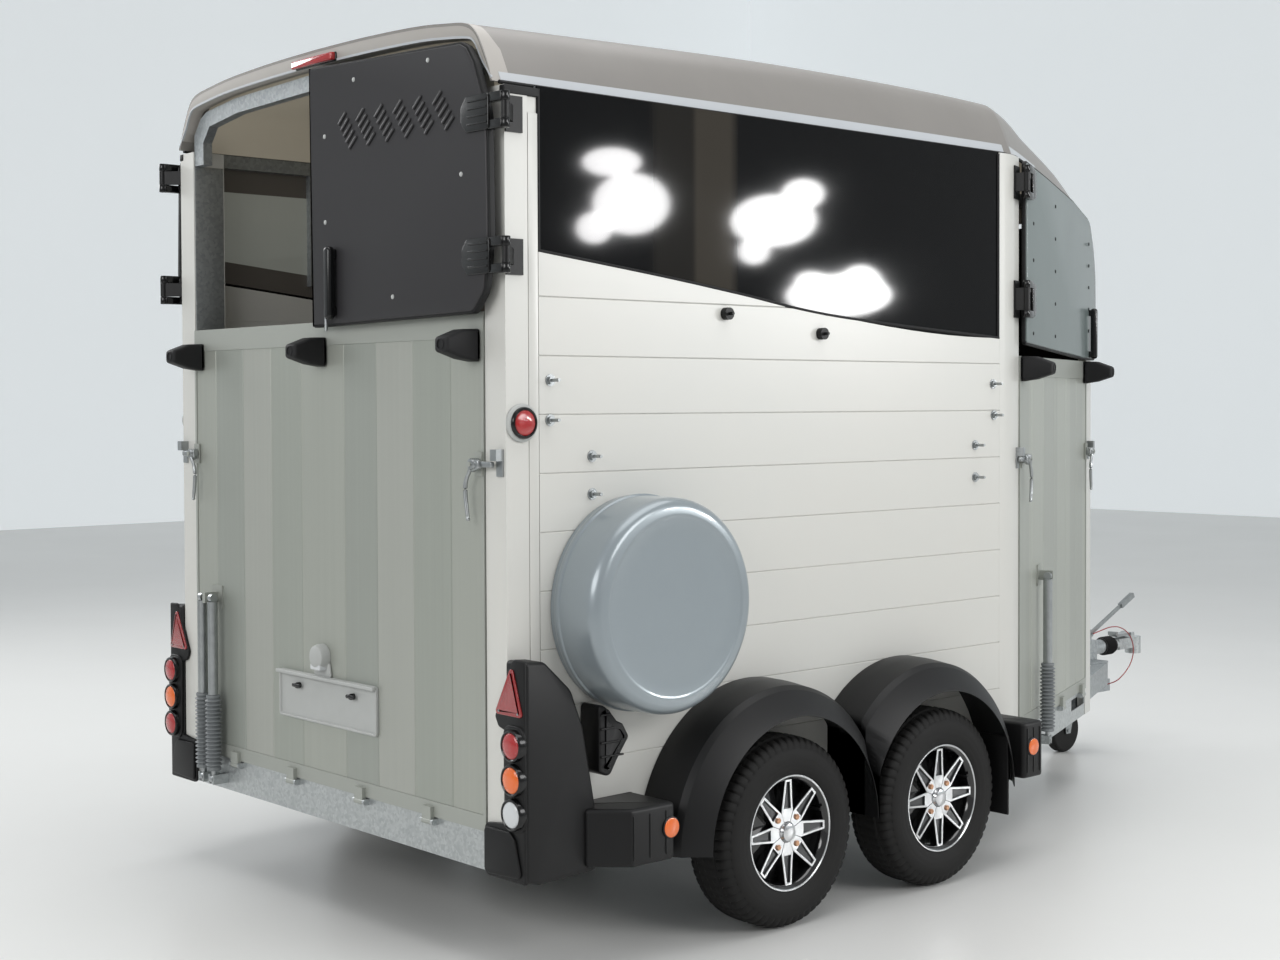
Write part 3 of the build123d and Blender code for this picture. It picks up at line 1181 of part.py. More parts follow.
with BuildPart() as rear_door:
    outline = (
        (5, 2656), (16, RAMP_TOP + 5), (DOOR_EDGE - 75, RAMP_TOP + 17), (DOOR_EDGE - 20, 1921), (DOOR_EDGE, 2072),
        (DOOR_EDGE - 6, 2414), (DOOR_EDGE - 62, 2554), (DOOR_EDGE - 98, 2604),
        (DOOR_EDGE - 131, 2620),
    )
    plate(REAR_FACE, outline, (DOOR_BACK, DOOR_BACK + DOOR_T))
    for low, high in REAR_HINGE_Z:
        strap = (DOOR_EDGE - 119, DOOR_EDGE + 11)
        block(REAR_FACE, strap, (low, high), (DOOR_BACK + DOOR_T - 1, DOOR_BACK + DOOR_T + 6))
    bounds = (DOOR_AXIS_OUT - 8, DOOR_BACK + DOOR_T + 6)
    hinge_arms((DOOR_AXIS_X, DOOR_AXIS_OUT), REAR_HINGE_Z, REAR_FACE, (DOOR_EDGE - 5, DOOR_AXIS_X), (32, 48))
    for low, high in REAR_HINGE_Z:
        for knuckle in ((low, low + 26), (high - 26, high)):
            block(REAR_FACE, (DOOR_EDGE - 5, DOOR_EDGE + 25), knuckle, bounds)
with BuildPart() as rear_grip:
    block(REAR_FACE, (128, 160), (RAMP_TOP + 22, 2096), (DOOR_BACK + DOOR_T, DOOR_BACK + DOOR_T + 36))
    fillet(rear_grip.edges().filter_by(Axis.Z), 9)

FOLD = 270.0


def folded(piece):
    """The left-hand copy of a rear door piece, swung back against the side wall."""
    other = mirror(piece, about=Plane.YZ)
    hinge_line = Axis((-DOOR_AXIS_X, REAR - DOOR_AXIS_OUT, 0), (0, 0, 1))
    return other.rotate(hinge_line, -FOLD)


save(group(rear_door.part, rear_grip.part), "rear_door_right")
save(group(folded(rear_door.part), folded(rear_grip.part)), "rear_door_left")

with BuildPart() as front_door:
    outline = (
        (112, FRONT_RAMP_TOP + 42), (1070, FRONT_RAMP_TOP + 5), (1306, FRONT_RAMP_TOP + 5),
        (1293, 2137), (1259, 2243), (1182, 2362), (876, 2416), (445, 2460), (112, 2488),
    )
    plate(TURNED_FACE, outline, (6, 26))
    for low, high in FRONT_HINGE_Z:
        block(TURNED_FACE, (114, 160), (low, high), (25, 51))
    hinge_arms(FRONT_AXIS, FRONT_HINGE_Z, TURNED_FACE, (FRONT_AXIS[0], 130), (39, 51))
with BuildPart() as front_grip:
    block(TURNED_FACE, (1150, 1180), (FRONT_RAMP_TOP + 10, 1994), (26, 62))
    fillet(front_grip.edges().filter_by(Axis.Z), 8)
save(group(front_door.part, front_grip.part), "front_door")
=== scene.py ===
import math

import bmesh
import bpy
import numpy as np
from bpy.props import FloatProperty, FloatVectorProperty, IntProperty, PointerProperty
from mathutils import Matrix, Vector


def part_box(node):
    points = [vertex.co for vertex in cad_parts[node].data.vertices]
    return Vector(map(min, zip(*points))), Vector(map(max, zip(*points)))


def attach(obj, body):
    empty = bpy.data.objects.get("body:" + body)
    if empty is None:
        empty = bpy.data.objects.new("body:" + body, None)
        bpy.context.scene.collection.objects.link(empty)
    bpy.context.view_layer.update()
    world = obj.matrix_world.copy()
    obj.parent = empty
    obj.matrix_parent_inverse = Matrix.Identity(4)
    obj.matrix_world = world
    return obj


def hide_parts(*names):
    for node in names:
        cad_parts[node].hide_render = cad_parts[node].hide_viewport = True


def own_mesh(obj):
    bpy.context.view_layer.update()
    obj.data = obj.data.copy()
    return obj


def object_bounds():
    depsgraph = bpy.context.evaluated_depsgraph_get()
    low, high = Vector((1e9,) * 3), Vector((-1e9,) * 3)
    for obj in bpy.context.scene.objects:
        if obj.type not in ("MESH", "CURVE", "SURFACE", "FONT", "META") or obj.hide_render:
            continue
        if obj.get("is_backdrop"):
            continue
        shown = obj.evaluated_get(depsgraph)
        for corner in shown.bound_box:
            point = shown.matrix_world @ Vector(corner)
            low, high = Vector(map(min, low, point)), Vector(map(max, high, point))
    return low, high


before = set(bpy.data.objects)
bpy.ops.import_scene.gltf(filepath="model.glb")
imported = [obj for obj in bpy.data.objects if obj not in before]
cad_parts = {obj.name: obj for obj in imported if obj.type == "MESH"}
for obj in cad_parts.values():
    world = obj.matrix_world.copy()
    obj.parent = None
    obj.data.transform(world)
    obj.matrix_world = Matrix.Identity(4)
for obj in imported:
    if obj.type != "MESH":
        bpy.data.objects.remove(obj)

bl_info = {
    "name": "Livestock Trailer",
    "version": (1, 0, 0),
    "blender": (4, 5, 0),
    "location": "View3D > Sidebar > Trailer",
    "description": "Dresses the packed trailer frame with its visible pieces and finishes",
    "category": "Object",
}

# ---- Where things are, in metres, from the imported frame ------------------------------

CAD_LOW, CAD_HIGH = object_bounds()
POST_LOW, POST_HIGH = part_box("body_posts")
REAR = POST_LOW.y                 # rear face of the rear posts
HALF = POST_HIGH.x                # centre line to the outside of a side wall
CORNER = REAR + 2.300             # where the side plane meets the turned front face
TURN = math.radians(22)           # how far a front face turns in
TYRE_BOX = {name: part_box(f"{name}_tyre") for name in
           ("rear_left", "rear_right", "front_left", "front_right")}


def plane(origin, across, up):
    """Maps (across, up, out) onto a flat face: origin + a*across + b*up + c*(across x up)."""
    origin, across, up = (np.array(v, float) for v in (origin, across, up))
    out = np.cross(across, up)

    def place(points):
        p = np.asarray(points, float)
        return origin + p[..., :1] * across + p[..., 1:2] * up + p[..., 2:3] * out
    return place


REAR_FACE = plane((0, REAR, 0), (1, 0, 0), (0, 0, 1))
SIDE_FACE = plane((HALF, REAR, 0), (0, 1, 0), (0, 0, 1))
TURNED_FACE = plane((HALF, CORNER, 0), (-math.sin(TURN), math.cos(TURN), 0), (0, 0, 1))


def mirrored(place):
    """The same face on the other side of the trailer: x becomes -x."""
    return lambda points: place(points) * np.array((-1, 1, 1))


def out_of(place, across, up, out=0.0):
    """A point on a face, and the direction straight out of the face there."""
    flat = np.array((across, up, out))
    return place(flat), place(flat + (0, 0, 1)) - place(flat)


# ---- Surfaces ------------------------------------------------------------------------

def through(points, count):
    """Catmull-Rom curve: passes smoothly through every given point, count samples in all."""
    p = np.asarray(points, float)
    p = np.vstack((2 * p[0] - p[1], p, 2 * p[-1] - p[-2]))
    at = np.linspace(0, len(p) - 3, count)
    i = np.minimum(at.astype(int), len(p) - 4)
    t = (at - i)[:, None]
    a, b, c, d = p[i], p[i + 1], p[i + 2], p[i + 3]
    return 0.5 * (2 * b + (c - a) * t + (2 * a - 5 * b + 4 * c - d) * t ** 2
                  + (3 * b - a - 3 * c + d) * t ** 3)


def rounded(corners, radius, steps=5):
    """Closed outline with each corner turned into an arc that is tangent to both its sides."""
    p = np.asarray(corners, float)
    radius = np.broadcast_to(np.asarray(radius, float), len(p))
    before, after = np.roll(p, 1, 0) - p, np.roll(p, -1, 0) - p
    long_a, long_b = np.linalg.norm(before, axis=1), np.linalg.norm(after, axis=1)
    a, b = before / long_a[:, None], after / long_b[:, None]
    half = np.arccos(np.clip((a * b).sum(1), -1, 1)) / 2
    cut = np.minimum(radius / np.tan(half), np.minimum(long_a, long_b) * 0.49)
    r = cut * np.tan(half)
    middle = (a + b) / np.linalg.norm(a + b, axis=1)[:, None]
    centre = p + middle * (r / np.sin(half))[:, None]
    start, end = p + a * cut[:, None] - centre, p + b * cut[:, None] - centre
    share = np.linspace(0, 1, steps)[None, :, None]
    swing = (math.pi - 2 * half)[:, None, None]
    arc = (start[:, None] * np.sin((1 - share) * swing)
           + end[:, None] * np.sin(share * swing)) / np.sin(swing)
    return (centre[:, None] + arc).reshape(-1, 2)


def oblong(left, right, low, high, radius, steps=5):
    """Upright rectangle with round corners."""
    return rounded(((left, low), (right, low), (right, high), (left, high)), radius, steps)


def inset(outline, distance):
    """Outline moved in by a distance along the mean of its neighbouring sides' normals."""
    p = np.asarray(outline, float)
    side = np.roll(p, -1, 0) - p
    side /= np.linalg.norm(side, axis=1)[:, None]
    normal = np.stack((-side[:, 1], side[:, 0]), 1)
    turn = np.sign(np.sum(p[:, 0] * np.roll(p[:, 1], -1) - np.roll(p[:, 0], -1) * p[:, 1]))
    mean = normal + np.roll(normal, 1, 0)
    mean /= np.maximum((mean * mean).sum(1) / 2, 0.25)[:, None]
    return p + mean * distance * turn


class Build:
    """Gathers grids of points, each with its finish, into one closed mesh."""

    def __init__(self):
        self.points, self.faces, self.of_face, self.finishes, self.count = [], [], [], [], 0

    def number(self, finish):
        """The place of a finish among this piece's materials."""
        if finish not in self.finishes:
            self.finishes.append(finish)
        return self.finishes.index(finish)

    def grid(self, points, finish, caps=True, rows=None):
        """A rows x columns grid of points, joined round from the last column to the first.
        caps close the first and last row, and rows gives a finish to single rows of faces."""
        p = np.asarray(points, float)
        n, m = p.shape[:2]
        index = self.count + np.arange(n * m).reshape(n, m)
        right = np.roll(index, -1, 1)
        a, b, c, d = index[:-1], right[:-1], right[1:], index[1:]
        quads = np.stack((a, b, c, d), -1)
        here = np.full(quads.shape[:2], self.number(finish))
        for row, other in (rows or {}).items():
            if row not in ("first", "last"):
                here[row] = self.number(other)
        self.faces += quads.reshape(-1, 4).tolist()
        self.of_face += here.reshape(-1).tolist()
        if caps:
            self.faces += [index[0][::-1].tolist(), index[-1].tolist()]
            self.of_face += [self.number((rows or {}).get("first", finish)),
                             self.number((rows or {}).get("last", finish))]
        self.points.append(p.reshape(-1, 3))
        self.count += n * m

    def slab(self, place, outline, low, high, finish, edge=0.002, rows=None):
        """Flat piece on a face: the outline carried from low to high, with round edges."""
        quarter = np.linspace(0, math.pi / 2, 4)
        edge = min(edge, (high - low) * 0.49)
        depth = np.concatenate((low + edge - edge * np.cos(quarter),
                                high - edge + edge * np.sin(quarter)))
        move = np.concatenate((edge - edge * np.sin(quarter), edge - edge * np.cos(quarter)))
        rings = np.stack([np.column_stack((inset(outline, m), np.full(len(outline), d)))
                          for m, d in zip(move, depth)])
        self.grid(place(rings), finish, rows=rows)

    def lathe(self, profile, origin, axis, finish, steps=32, rows=None, caps=False):
        """Profile of (radius, along) turned about an axis through origin."""
        p = np.asarray(profile, float)
        axis = np.array(axis, float) / np.linalg.norm(axis)
        side = np.cross(axis, (0, 0, 1) if abs(axis[2]) < 0.9 else (1, 0, 0))
        side /= np.linalg.norm(side)
        up = np.cross(axis, side)
        angle = np.arange(steps) * 2 * math.pi / steps
        round_ = np.cos(angle)[:, None] * side + np.sin(angle)[:, None] * up
        rings = (np.array(origin, float) + p[:, None, 1:2] * axis + p[:, None, :1] * round_)
        self.grid(rings, finish, caps=caps, rows=rows)

    def tube(self, path, radius, finish, steps=12):
        """Round bar: a circle carried along a path, kept square to it."""
        p = np.asarray(path, float)
        along = np.gradient(p, axis=0)
        along /= np.linalg.norm(along, axis=1)[:, None]
        hint = np.array((0.0, 0.0, 1.0)) if abs(along[0, 2]) < 0.9 else np.array((1.0, 0, 0))
        side = np.cross(along, hint)
        side /= np.linalg.norm(side, axis=1)[:, None]
        up = np.cross(side, along)
        angle = np.arange(steps)[None, :, None] * 2 * math.pi / steps
        radius = np.broadcast_to(np.asarray(radius, float), len(p))[:, None, None]
        self.grid(p[:, None] + radius * (np.cos(angle) * side[:, None]
                                         + np.sin(angle) * up[:, None]), finish)

    def make(self, name, body, slot, *nodes, crease=35.0):
        """Turns the gathered grids into a piece that rides on a body and stands for nodes."""
        mesh = bpy.data.meshes.new(name)
        mesh.from_pydata(np.vstack(self.points).tolist(), [], self.faces)
        for finish in self.finishes:
            mesh.materials.append(finish)
        mesh.polygons.foreach_set("material_index", np.array(self.of_face, np.int32))
        form = bmesh.new()
        form.from_mesh(mesh)
        bmesh.ops.remove_doubles(form, verts=form.verts, dist=1e-6)
        bmesh.ops.dissolve_degenerate(form, edges=form.edges, dist=1e-7)
        bmesh.ops.recalc_face_normals(form, faces=form.faces)
        for face in form.faces:
            face.smooth = True
        for edge in form.edges:
            if len(edge.link_faces) == 2:
                edge.smooth = edge.calc_face_angle(0) < math.radians(crease)
        form.to_mesh(mesh)
        form.free()
        obj = bpy.data.objects.new(name, mesh)
        bpy.context.scene.collection.objects.link(obj)
        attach(obj, body)
        if nodes:
            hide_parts(*nodes)
        return obj


# ---- Finishes ------------------------------------------------------------------------

def linear(code):
    """sRGB hex code to linear RGBA; a colour that is linear already passes through."""
    if not isinstance(code, str):
        return tuple(code)
    rgb = np.array([int(code[i:i + 2], 16) for i in (1, 3, 5)]) / 255
    return (*np.where(rgb <= 0.04045, rgb / 12.92, ((rgb + 0.055) / 1.055) ** 2.4), 1.0)


def per_mm(size):
    """Texture scale that makes one cell or wave this many millimetres wide."""
    return 1000.0 / size


def add(tree, kind, settings=(), links=()):
    """Adds one node: settings are its properties or unlinked inputs, links feed its inputs."""
    made = tree.nodes.new(kind)
    for key, value in dict(settings).items():
        if isinstance(key, str) and hasattr(made, key):
            setattr(made, key, value)
        else:
            made.inputs[key].default_value = value
    for key, source in dict(links).items():
        tree.links.new(made.inputs[key], source)
    return made


def finish(name, colour, tone=None, patch=250.0, rough=0.5, vary=0.06, grain=0.0, depth=0.0,
           stretch=(1, 1, 1), **constants):
    """Surface whose colour drifts to a second tone over patches of a real size, whose
    roughness drifts with it, and whose bump is a grain of a real size and depth (mm)."""
    made = bpy.data.materials.new(name)
    made.use_nodes = True
    tree = made.node_tree
    shader = tree.nodes["Principled BSDF"]
    for key, value in constants.items():
        shader.inputs[key.replace("_", " ")].default_value = value
    where = add(tree, "ShaderNodeMapping", {"Scale": stretch},
                {"Vector": add(tree, "ShaderNodeTexCoord").outputs["Object"]})
    cloud = add(tree, "ShaderNodeTexNoise", {"Scale": per_mm(patch), "Detail": 5.0,
                                             "Roughness": 0.6},
                {"Vector": where.outputs[0]})
    blend = add(tree, "ShaderNodeMix", {"data_type": "RGBA", 6: linear(colour),
                                        7: linear(tone or colour)},
                {0: cloud.outputs["Fac"]})
    dull = add(tree, "ShaderNodeMapRange", {"To Min": max(rough - vary, 0.02),
                                            "To Max": min(rough + vary, 1.0)},
               {"Value": cloud.outputs["Fac"]})
    tree.links.new(shader.inputs["Base Color"], blend.outputs[2])
    tree.links.new(shader.inputs["Roughness"], dull.outputs[0])
    if grain:
        fine = add(tree, "ShaderNodeTexNoise", {"Scale": per_mm(grain), "Detail": 3.0},
                   {"Vector": where.outputs[0]})
        bump = add(tree, "ShaderNodeBump", {"Strength": 1.0, "Distance": depth / 1000},
                   {"Height": fine.outputs["Fac"]})
        tree.links.new(shader.inputs["Normal"], bump.outputs[0])
    return made


FINISH = {}


def spangled(name, light, dark, cell, rough):
    """Hot-dip galvanised steel: zinc crystals show as pale and dark flakes a few mm wide."""
    made = finish(name, light, dark, patch=180, rough=rough, Metallic=0.75)
    tree, shader = made.node_tree, made.node_tree.nodes["Principled BSDF"]
    where = add(tree, "ShaderNodeTexCoord").outputs["Object"]
    flake = add(tree, "ShaderNodeTexVoronoi", {"Scale": per_mm(cell), "Randomness": 1.0},
                {"Vector": where})
    grey = add(tree, "ShaderNodeMix", {"data_type": "RGBA", 6: linear(dark), 7: linear(light)},
               {0: add(tree, "ShaderNodeSeparateColor", (),
                       {0: flake.outputs["Color"]}).outputs[0]})
    tree.links.new(shader.inputs["Base Color"], grey.outputs[2])
    return made


def stepped(name, bands, lows, axis, rough, grain, **constants):
    """Planks that differ a little in tone: a stepped ramp along one axis, with run marks."""
    made = finish(name, bands[0], bands[0], rough=rough, grain=grain, depth=0.02,
                  stretch=(1, 1, 0.02), **constants)
    tree, shader = made.node_tree, made.node_tree.nodes["Principled BSDF"]
    where = add(tree, "ShaderNodeTexCoord").outputs["Object"]
    split = add(tree, "ShaderNodeSeparateXYZ", (), {0: where})
    low, high = lows[0], lows[-1]
    share = add(tree, "ShaderNodeMapRange", {"From Min": low, "From Max": high},
                {"Value": split.outputs[axis]})
    ramp = add(tree, "ShaderNodeValToRGB", (), {0: share.outputs[0]})
    ramp.color_ramp.interpolation = "CONSTANT"
    stops = ramp.color_ramp.elements
    for index, at in enumerate(lows[:-1]):
        stop = stops[index] if index < len(stops) else stops.new(1.0)
        stop.position = (at - low) / (high - low)
        stop.color = linear(bands[index % len(bands)])
    streak = add(tree, "ShaderNodeTexNoise", {"Scale": per_mm(14), "Detail": 4.0},
                 {"Vector": add(tree, "ShaderNodeMapping", {"Scale": (1, 1, 0.01)},
                                {"Vector": where}).outputs[0]})
    shade = add(tree, "ShaderNodeMix", {"data_type": "RGBA", "blend_type": "MULTIPLY",
                                        0: 0.25}, {6: ramp.outputs[0]})
    tone = add(tree, "ShaderNodeMapRange", {"To Min": 0.75, "To Max": 1.15},
               {"Value": streak.outputs["Fac"]})
    tree.links.new(shade.inputs[7], add(tree, "ShaderNodeCombineColor", (), {
        0: tone.outputs[0], 1: tone.outputs[0], 2: tone.outputs[0]}).outputs[0])
    tree.links.new(shader.inputs["Base Color"], shade.outputs[2])
    return made


def prismatic(name, colour, pitch):
    """Moulded lamp lens: clear tinted acrylic, with rows of small prisms behind its face."""
    made = finish(name, colour, rough=0.08, vary=0.02, Coat_Weight=1.0, Coat_Roughness=0.03,
                  IOR=1.49)
    tree, shader = made.node_tree, made.node_tree.nodes["Principled BSDF"]
    where = add(tree, "ShaderNodeTexCoord").outputs["Object"]
    cell = add(tree, "ShaderNodeTexVoronoi", {"Scale": per_mm(pitch), "Randomness": 0.0,
                                              "distance": "CHEBYCHEV"}, {"Vector": where})
    bump = add(tree, "ShaderNodeBump", {"Strength": 0.6, "Distance": pitch / 3000},
               {"Height": cell.outputs["Distance"]})
    tree.links.new(shader.inputs["Normal"], bump.outputs[0])
    return made


def banded(name, colour, bands):
    """Tinted acrylic: near black, with two upright bands where a post shows through it."""
    made = finish(name, colour, rough=0.045, vary=0.01, IOR=1.49, Specular_IOR_Level=0.17)
    tree, shader = made.node_tree, made.node_tree.nodes["Principled BSDF"]
    where = add(tree, "ShaderNodeTexCoord").outputs["Object"]
    along = add(tree, "ShaderNodeSeparateXYZ", (), {0: where}).outputs[1]
    low, high = bands[0][0], bands[-1][0]
    share = add(tree, "ShaderNodeMapRange", {"From Min": REAR + low, "From Max": REAR + high},
                {"Value": along})
    tint = add(tree, "ShaderNodeValToRGB", (), {0: share.outputs[0]})
    stops = tint.color_ramp.elements
    for index, (at, tone) in enumerate(bands):
        stop = stops[index] if index < 2 else stops.new((at - low) / (high - low))
        stop.position = (at - low) / (high - low)
        stop.color = linear(tone)
    tree.links.new(shader.inputs["Base Color"], tint.outputs[0])
    return made


def mix_finishes(sizes):
    """Mixes every finish once, under the maker's plain name for it."""
    ramp_joints = [-0.820, -0.686, -0.506, -0.324, -0.137, 0.115, 0.293, 0.485, 0.673, 0.820]
    made = {
        # Pale powder coat on extruded planks: satin, with a very faint orange peel.
        "cream powder coat": finish("cream powder coat", sizes.wall, "#c9cac6", patch=700,
                                    rough=0.34, grain=2.2, depth=0.012, Coat_Weight=0.2,
                                    Coat_Roughness=0.25),
        # Anodised ramp planks: grey-green, alternate planks from two batches.
        "ramp plank": stepped("ramp plank", ("#a3a69e", "#9a9e97", "#a7a9a2", "#9da199"),
                              ramp_joints, 0, 0.42, 5.0, Metallic=0.35),
        # The front ramp's planks: the same extrusion, a shade paler.
        "side ramp plank": stepped("side ramp plank", ("#a9aca4", "#a3a69f"),
                                   list(np.linspace(0.42, 0.92, 7)), 0, 0.4, 5.0,
                                   Metallic=0.3),
        # Hot-dip zinc: a soft sheen broken into crystals.
        "galvanised steel": spangled("galvanised steel", "#a9adaf", "#94999b", 10, 0.46),
        # Newer zinc on the sills and stall frame: paler, with a clearer sheen.
        "bright galvanised": spangled("bright galvanised", "#bfc3c3", "#a9adae", 9, 0.38),
        # Zinc-plated castings and fasteners: brighter and finer than hot-dip zinc.
        "zinc plate": finish("zinc plate", "#b4b7b8", "#8d9192", patch=30, rough=0.32,
                             grain=3, depth=0.05, Metallic=0.95),
        # Anodised extrusion: even pale grey with a soft straight highlight.
        "anodised aluminium": finish("anodised aluminium", "#c3c5c4", "#aeb1b0", patch=300,
                                     rough=0.33, grain=1.5, depth=0.01, Metallic=0.8),
        # Gelcoat over glass fibre: warm grey, glossy, with slow waves in its surface.
        "roof gelcoat": finish("roof gelcoat", sizes.roof, "#767370", patch=900, rough=0.36,
                               grain=160, depth=0.9, Specular_IOR_Level=0.3),
        # The roof's rear lip: the roof's gelcoat in a paler tone that is painted highlight, and
        # flatter than the top.
        "rim gelcoat painted highlight": finish("rim gelcoat painted highlight", "#a9a5a0", "#a09c97", patch=900, rough=0.36,
                              Specular_IOR_Level=0.3),
        # Pale strips over the roof's foot and the doorway's edge: a thin painted highlight where
        # the curved edge catches the light.
        "painted gelcoat highlight": finish("painted gelcoat highlight", "#b9bdc1", "#adb1b5", patch=300, rough=0.3,
                               Coat_Weight=0.3),
        # Cloth-backed lining: warm and matt, with a painted glow for a little of the light that
        # it lets in.
        "beige lining": finish("beige lining", "#b5ad9c", "#a79f8e", patch=400, rough=0.6,
                               grain=3, depth=0.1, Emission_Strength=0.22,
                               Emission_Color=linear("#b5ad9c")),
        # Tinted acrylic side glazing: near black, deep gloss.
        "black glazing": banded("black glazing", "#050506",
                                ((0.0, "#050506"), (0.54, "#050506"), (0.58, "#1c1a17"),
                                 (0.72, "#1c1a17"), (0.74, "#36322c"), (0.88, "#36322c"),
                                 (0.92, "#050506"), (2.40, "#050506"))),
        # The same glazing from inside: a painted glow for the daylight that comes through it as a
        # dull grey-green.
        "smoked glazing": finish("smoked glazing", "#4f4b46", "#47433e", patch=400, rough=0.15,
                                 Emission_Strength=0.12, Emission_Color=linear("#4f4b46")),
        # A paler band of the glazing from inside: a brighter painted glow of daylight.
        "lit glazing": finish("lit glazing", "#8b8d86", "#7c7f78", patch=400, rough=0.15,
                              Emission_Strength=0.25, Emission_Color=linear("#8b8d86")),
        # Ramp frame extrusions: the planks' grey-green without their tone changes.
        "ramp rail": finish("ramp rail", "#a7aaa3", "#9a9d97", patch=300, rough=0.42,
                            grain=5, depth=0.02, stretch=(0.02, 1, 1), Metallic=0.3),
        # Moulded polypropylene: fine leather grain, soft sheen.
        "moulding plastic": finish("moulding plastic", sizes.guard, "#0c0c0d", patch=350,
                                   rough=0.46, grain=1.1, depth=0.12,
                                   Specular_IOR_Level=0.3),
        # Injection-moulded brackets and seams: near black, soft highlight.
        "black plastic": finish("black plastic", "#0b0b0c", "#101011", patch=60, rough=0.42,
                                grain=1.0, depth=0.06, Specular_IOR_Level=0.3),
        # Hinges, grips and lamp bodies: near black with small sharp highlights.
        "gloss black plastic": finish("gloss black plastic", "#0a0a0b", "#0e0f10", patch=60,
                                      rough=0.2, Coat_Weight=0.25, Coat_Roughness=0.05,
                                      Specular_IOR_Level=0.3),
        # Charcoal powder coat: satin, with fine texture that holds soft reflections.
        "charcoal powder coat": finish("charcoal powder coat", sizes.door, "#29282a",
                                       patch=600, rough=0.42, grain=1.6, depth=0.02,
                                       Specular_IOR_Level=0.4),
        # Front top door: blue-grey satin with a faint peel.
        "grey powder coat": finish("grey powder coat", "#6c7776", "#66706f", patch=600,
                                   rough=0.36, grain=1.8, depth=0.02, Coat_Weight=0.25),
        # Painted ABS wheel cover: silver blue-grey, semi-gloss.
        "silver cover paint": finish("silver cover paint", sizes.cover, "#848d92", patch=240,
                                     rough=0.3, grain=2.0, depth=0.01, Metallic=0.25,
                                     Coat_Weight=0.5, Coat_Roughness=0.1),
        # Number-plate tray: light grey, slightly chalky.
        "pale tray plastic": finish("pale tray plastic", "#b2b4b2", "#a4a6a4", patch=120,
                                    rough=0.45, grain=1.5, depth=0.03),
        # Lamp lenses: saturated, with a wet surface and a glitter of prisms.
        "red lens": prismatic("red lens", "#a30a0e", 3.0),
        "amber lens": prismatic("amber lens", "#e2650a", 3.0),
        "clear lens": prismatic("clear lens", "#c9ccce", 3.0),
        "red reflector": prismatic("red reflector", "#8e0d10", 2.2),
        # Tyre and seal rubbers: dull black, dusty on the tyre's high spots.
        "tyre rubber": finish("tyre rubber", "#0c0c0c", "#171615", patch=70, rough=0.72,
                              grain=2.0, depth=0.12, Specular_IOR_Level=0.3),
        # Extruded seals: near black with a low, even sheen.
        "seal rubber": finish("seal rubber", "#0e0e0f", "#151516", patch=90, rough=0.55,
                              grain=1.6, depth=0.05, Specular_IOR_Level=0.3),
        # Ramp buffers: black, a little bloom on the grain.
        "buffer rubber": finish("buffer rubber", "#131314", "#1a1a1c", patch=40, rough=0.6,
                                grain=1.8, depth=0.1, Specular_IOR_Level=0.3),
        # Strut boots: mid grey, so that the corrugations read as light and dark rings.
        "grey boot rubber": finish("grey boot rubber", "#7c8082", "#6a6e70", patch=50,
                                   rough=0.5, grain=1.5, depth=0.04),
        # Diamond-turned rim faces: bright, with fine turning lines.
        "machined alloy": finish("machined alloy", "#d7d8d9", "#bcbec0", patch=25, rough=0.2,
                                 grain=0.8, depth=0.01, Metallic=1.0),
        # Wheel pockets: dark grey with a fine metallic glint.
        "charcoal wheel paint": finish("charcoal wheel paint", "#36383a", "#2c2d2f", patch=60,
                                       rough=0.3, Metallic=0.3, Coat_Weight=0.4),
        # Wheel barrels: wet black that mirrors the bright spokes.
        "black wheel lacquer": finish("black wheel lacquer", "#0b0b0c", "#121213", patch=60,
                                      rough=0.14, Coat_Weight=0.8, Coat_Roughness=0.05),
        # Passivated nuts: pale copper points on the dark wheel.
        "yellow zinc nut": finish("yellow zinc nut", "#c59b7c", "#a97e62", patch=12, rough=0.35,
                                  Metallic=0.8),
        # Floor and step plate: dull grey with a coarse raised pattern.
        "tread plate": finish("tread plate", "#8f9290", "#767977", patch=90, rough=0.5,
                              grain=18, depth=1.0, Metallic=0.6),
        # Breakaway cable: a thin, shiny red line.
        "red cable sheath": finish("red cable sheath", "#a01b18", "#7f1513", patch=20,
                                   rough=0.35, Coat_Weight=0.4),
        # Closed-cell foam in a vinyl cover: grey, slightly creased.
        "padded vinyl": finish("padded vinyl", "#4a4d50", "#3c3f42", patch=120, rough=0.5,
                               grain=6, depth=0.3),
    }
    FINISH.update(made)


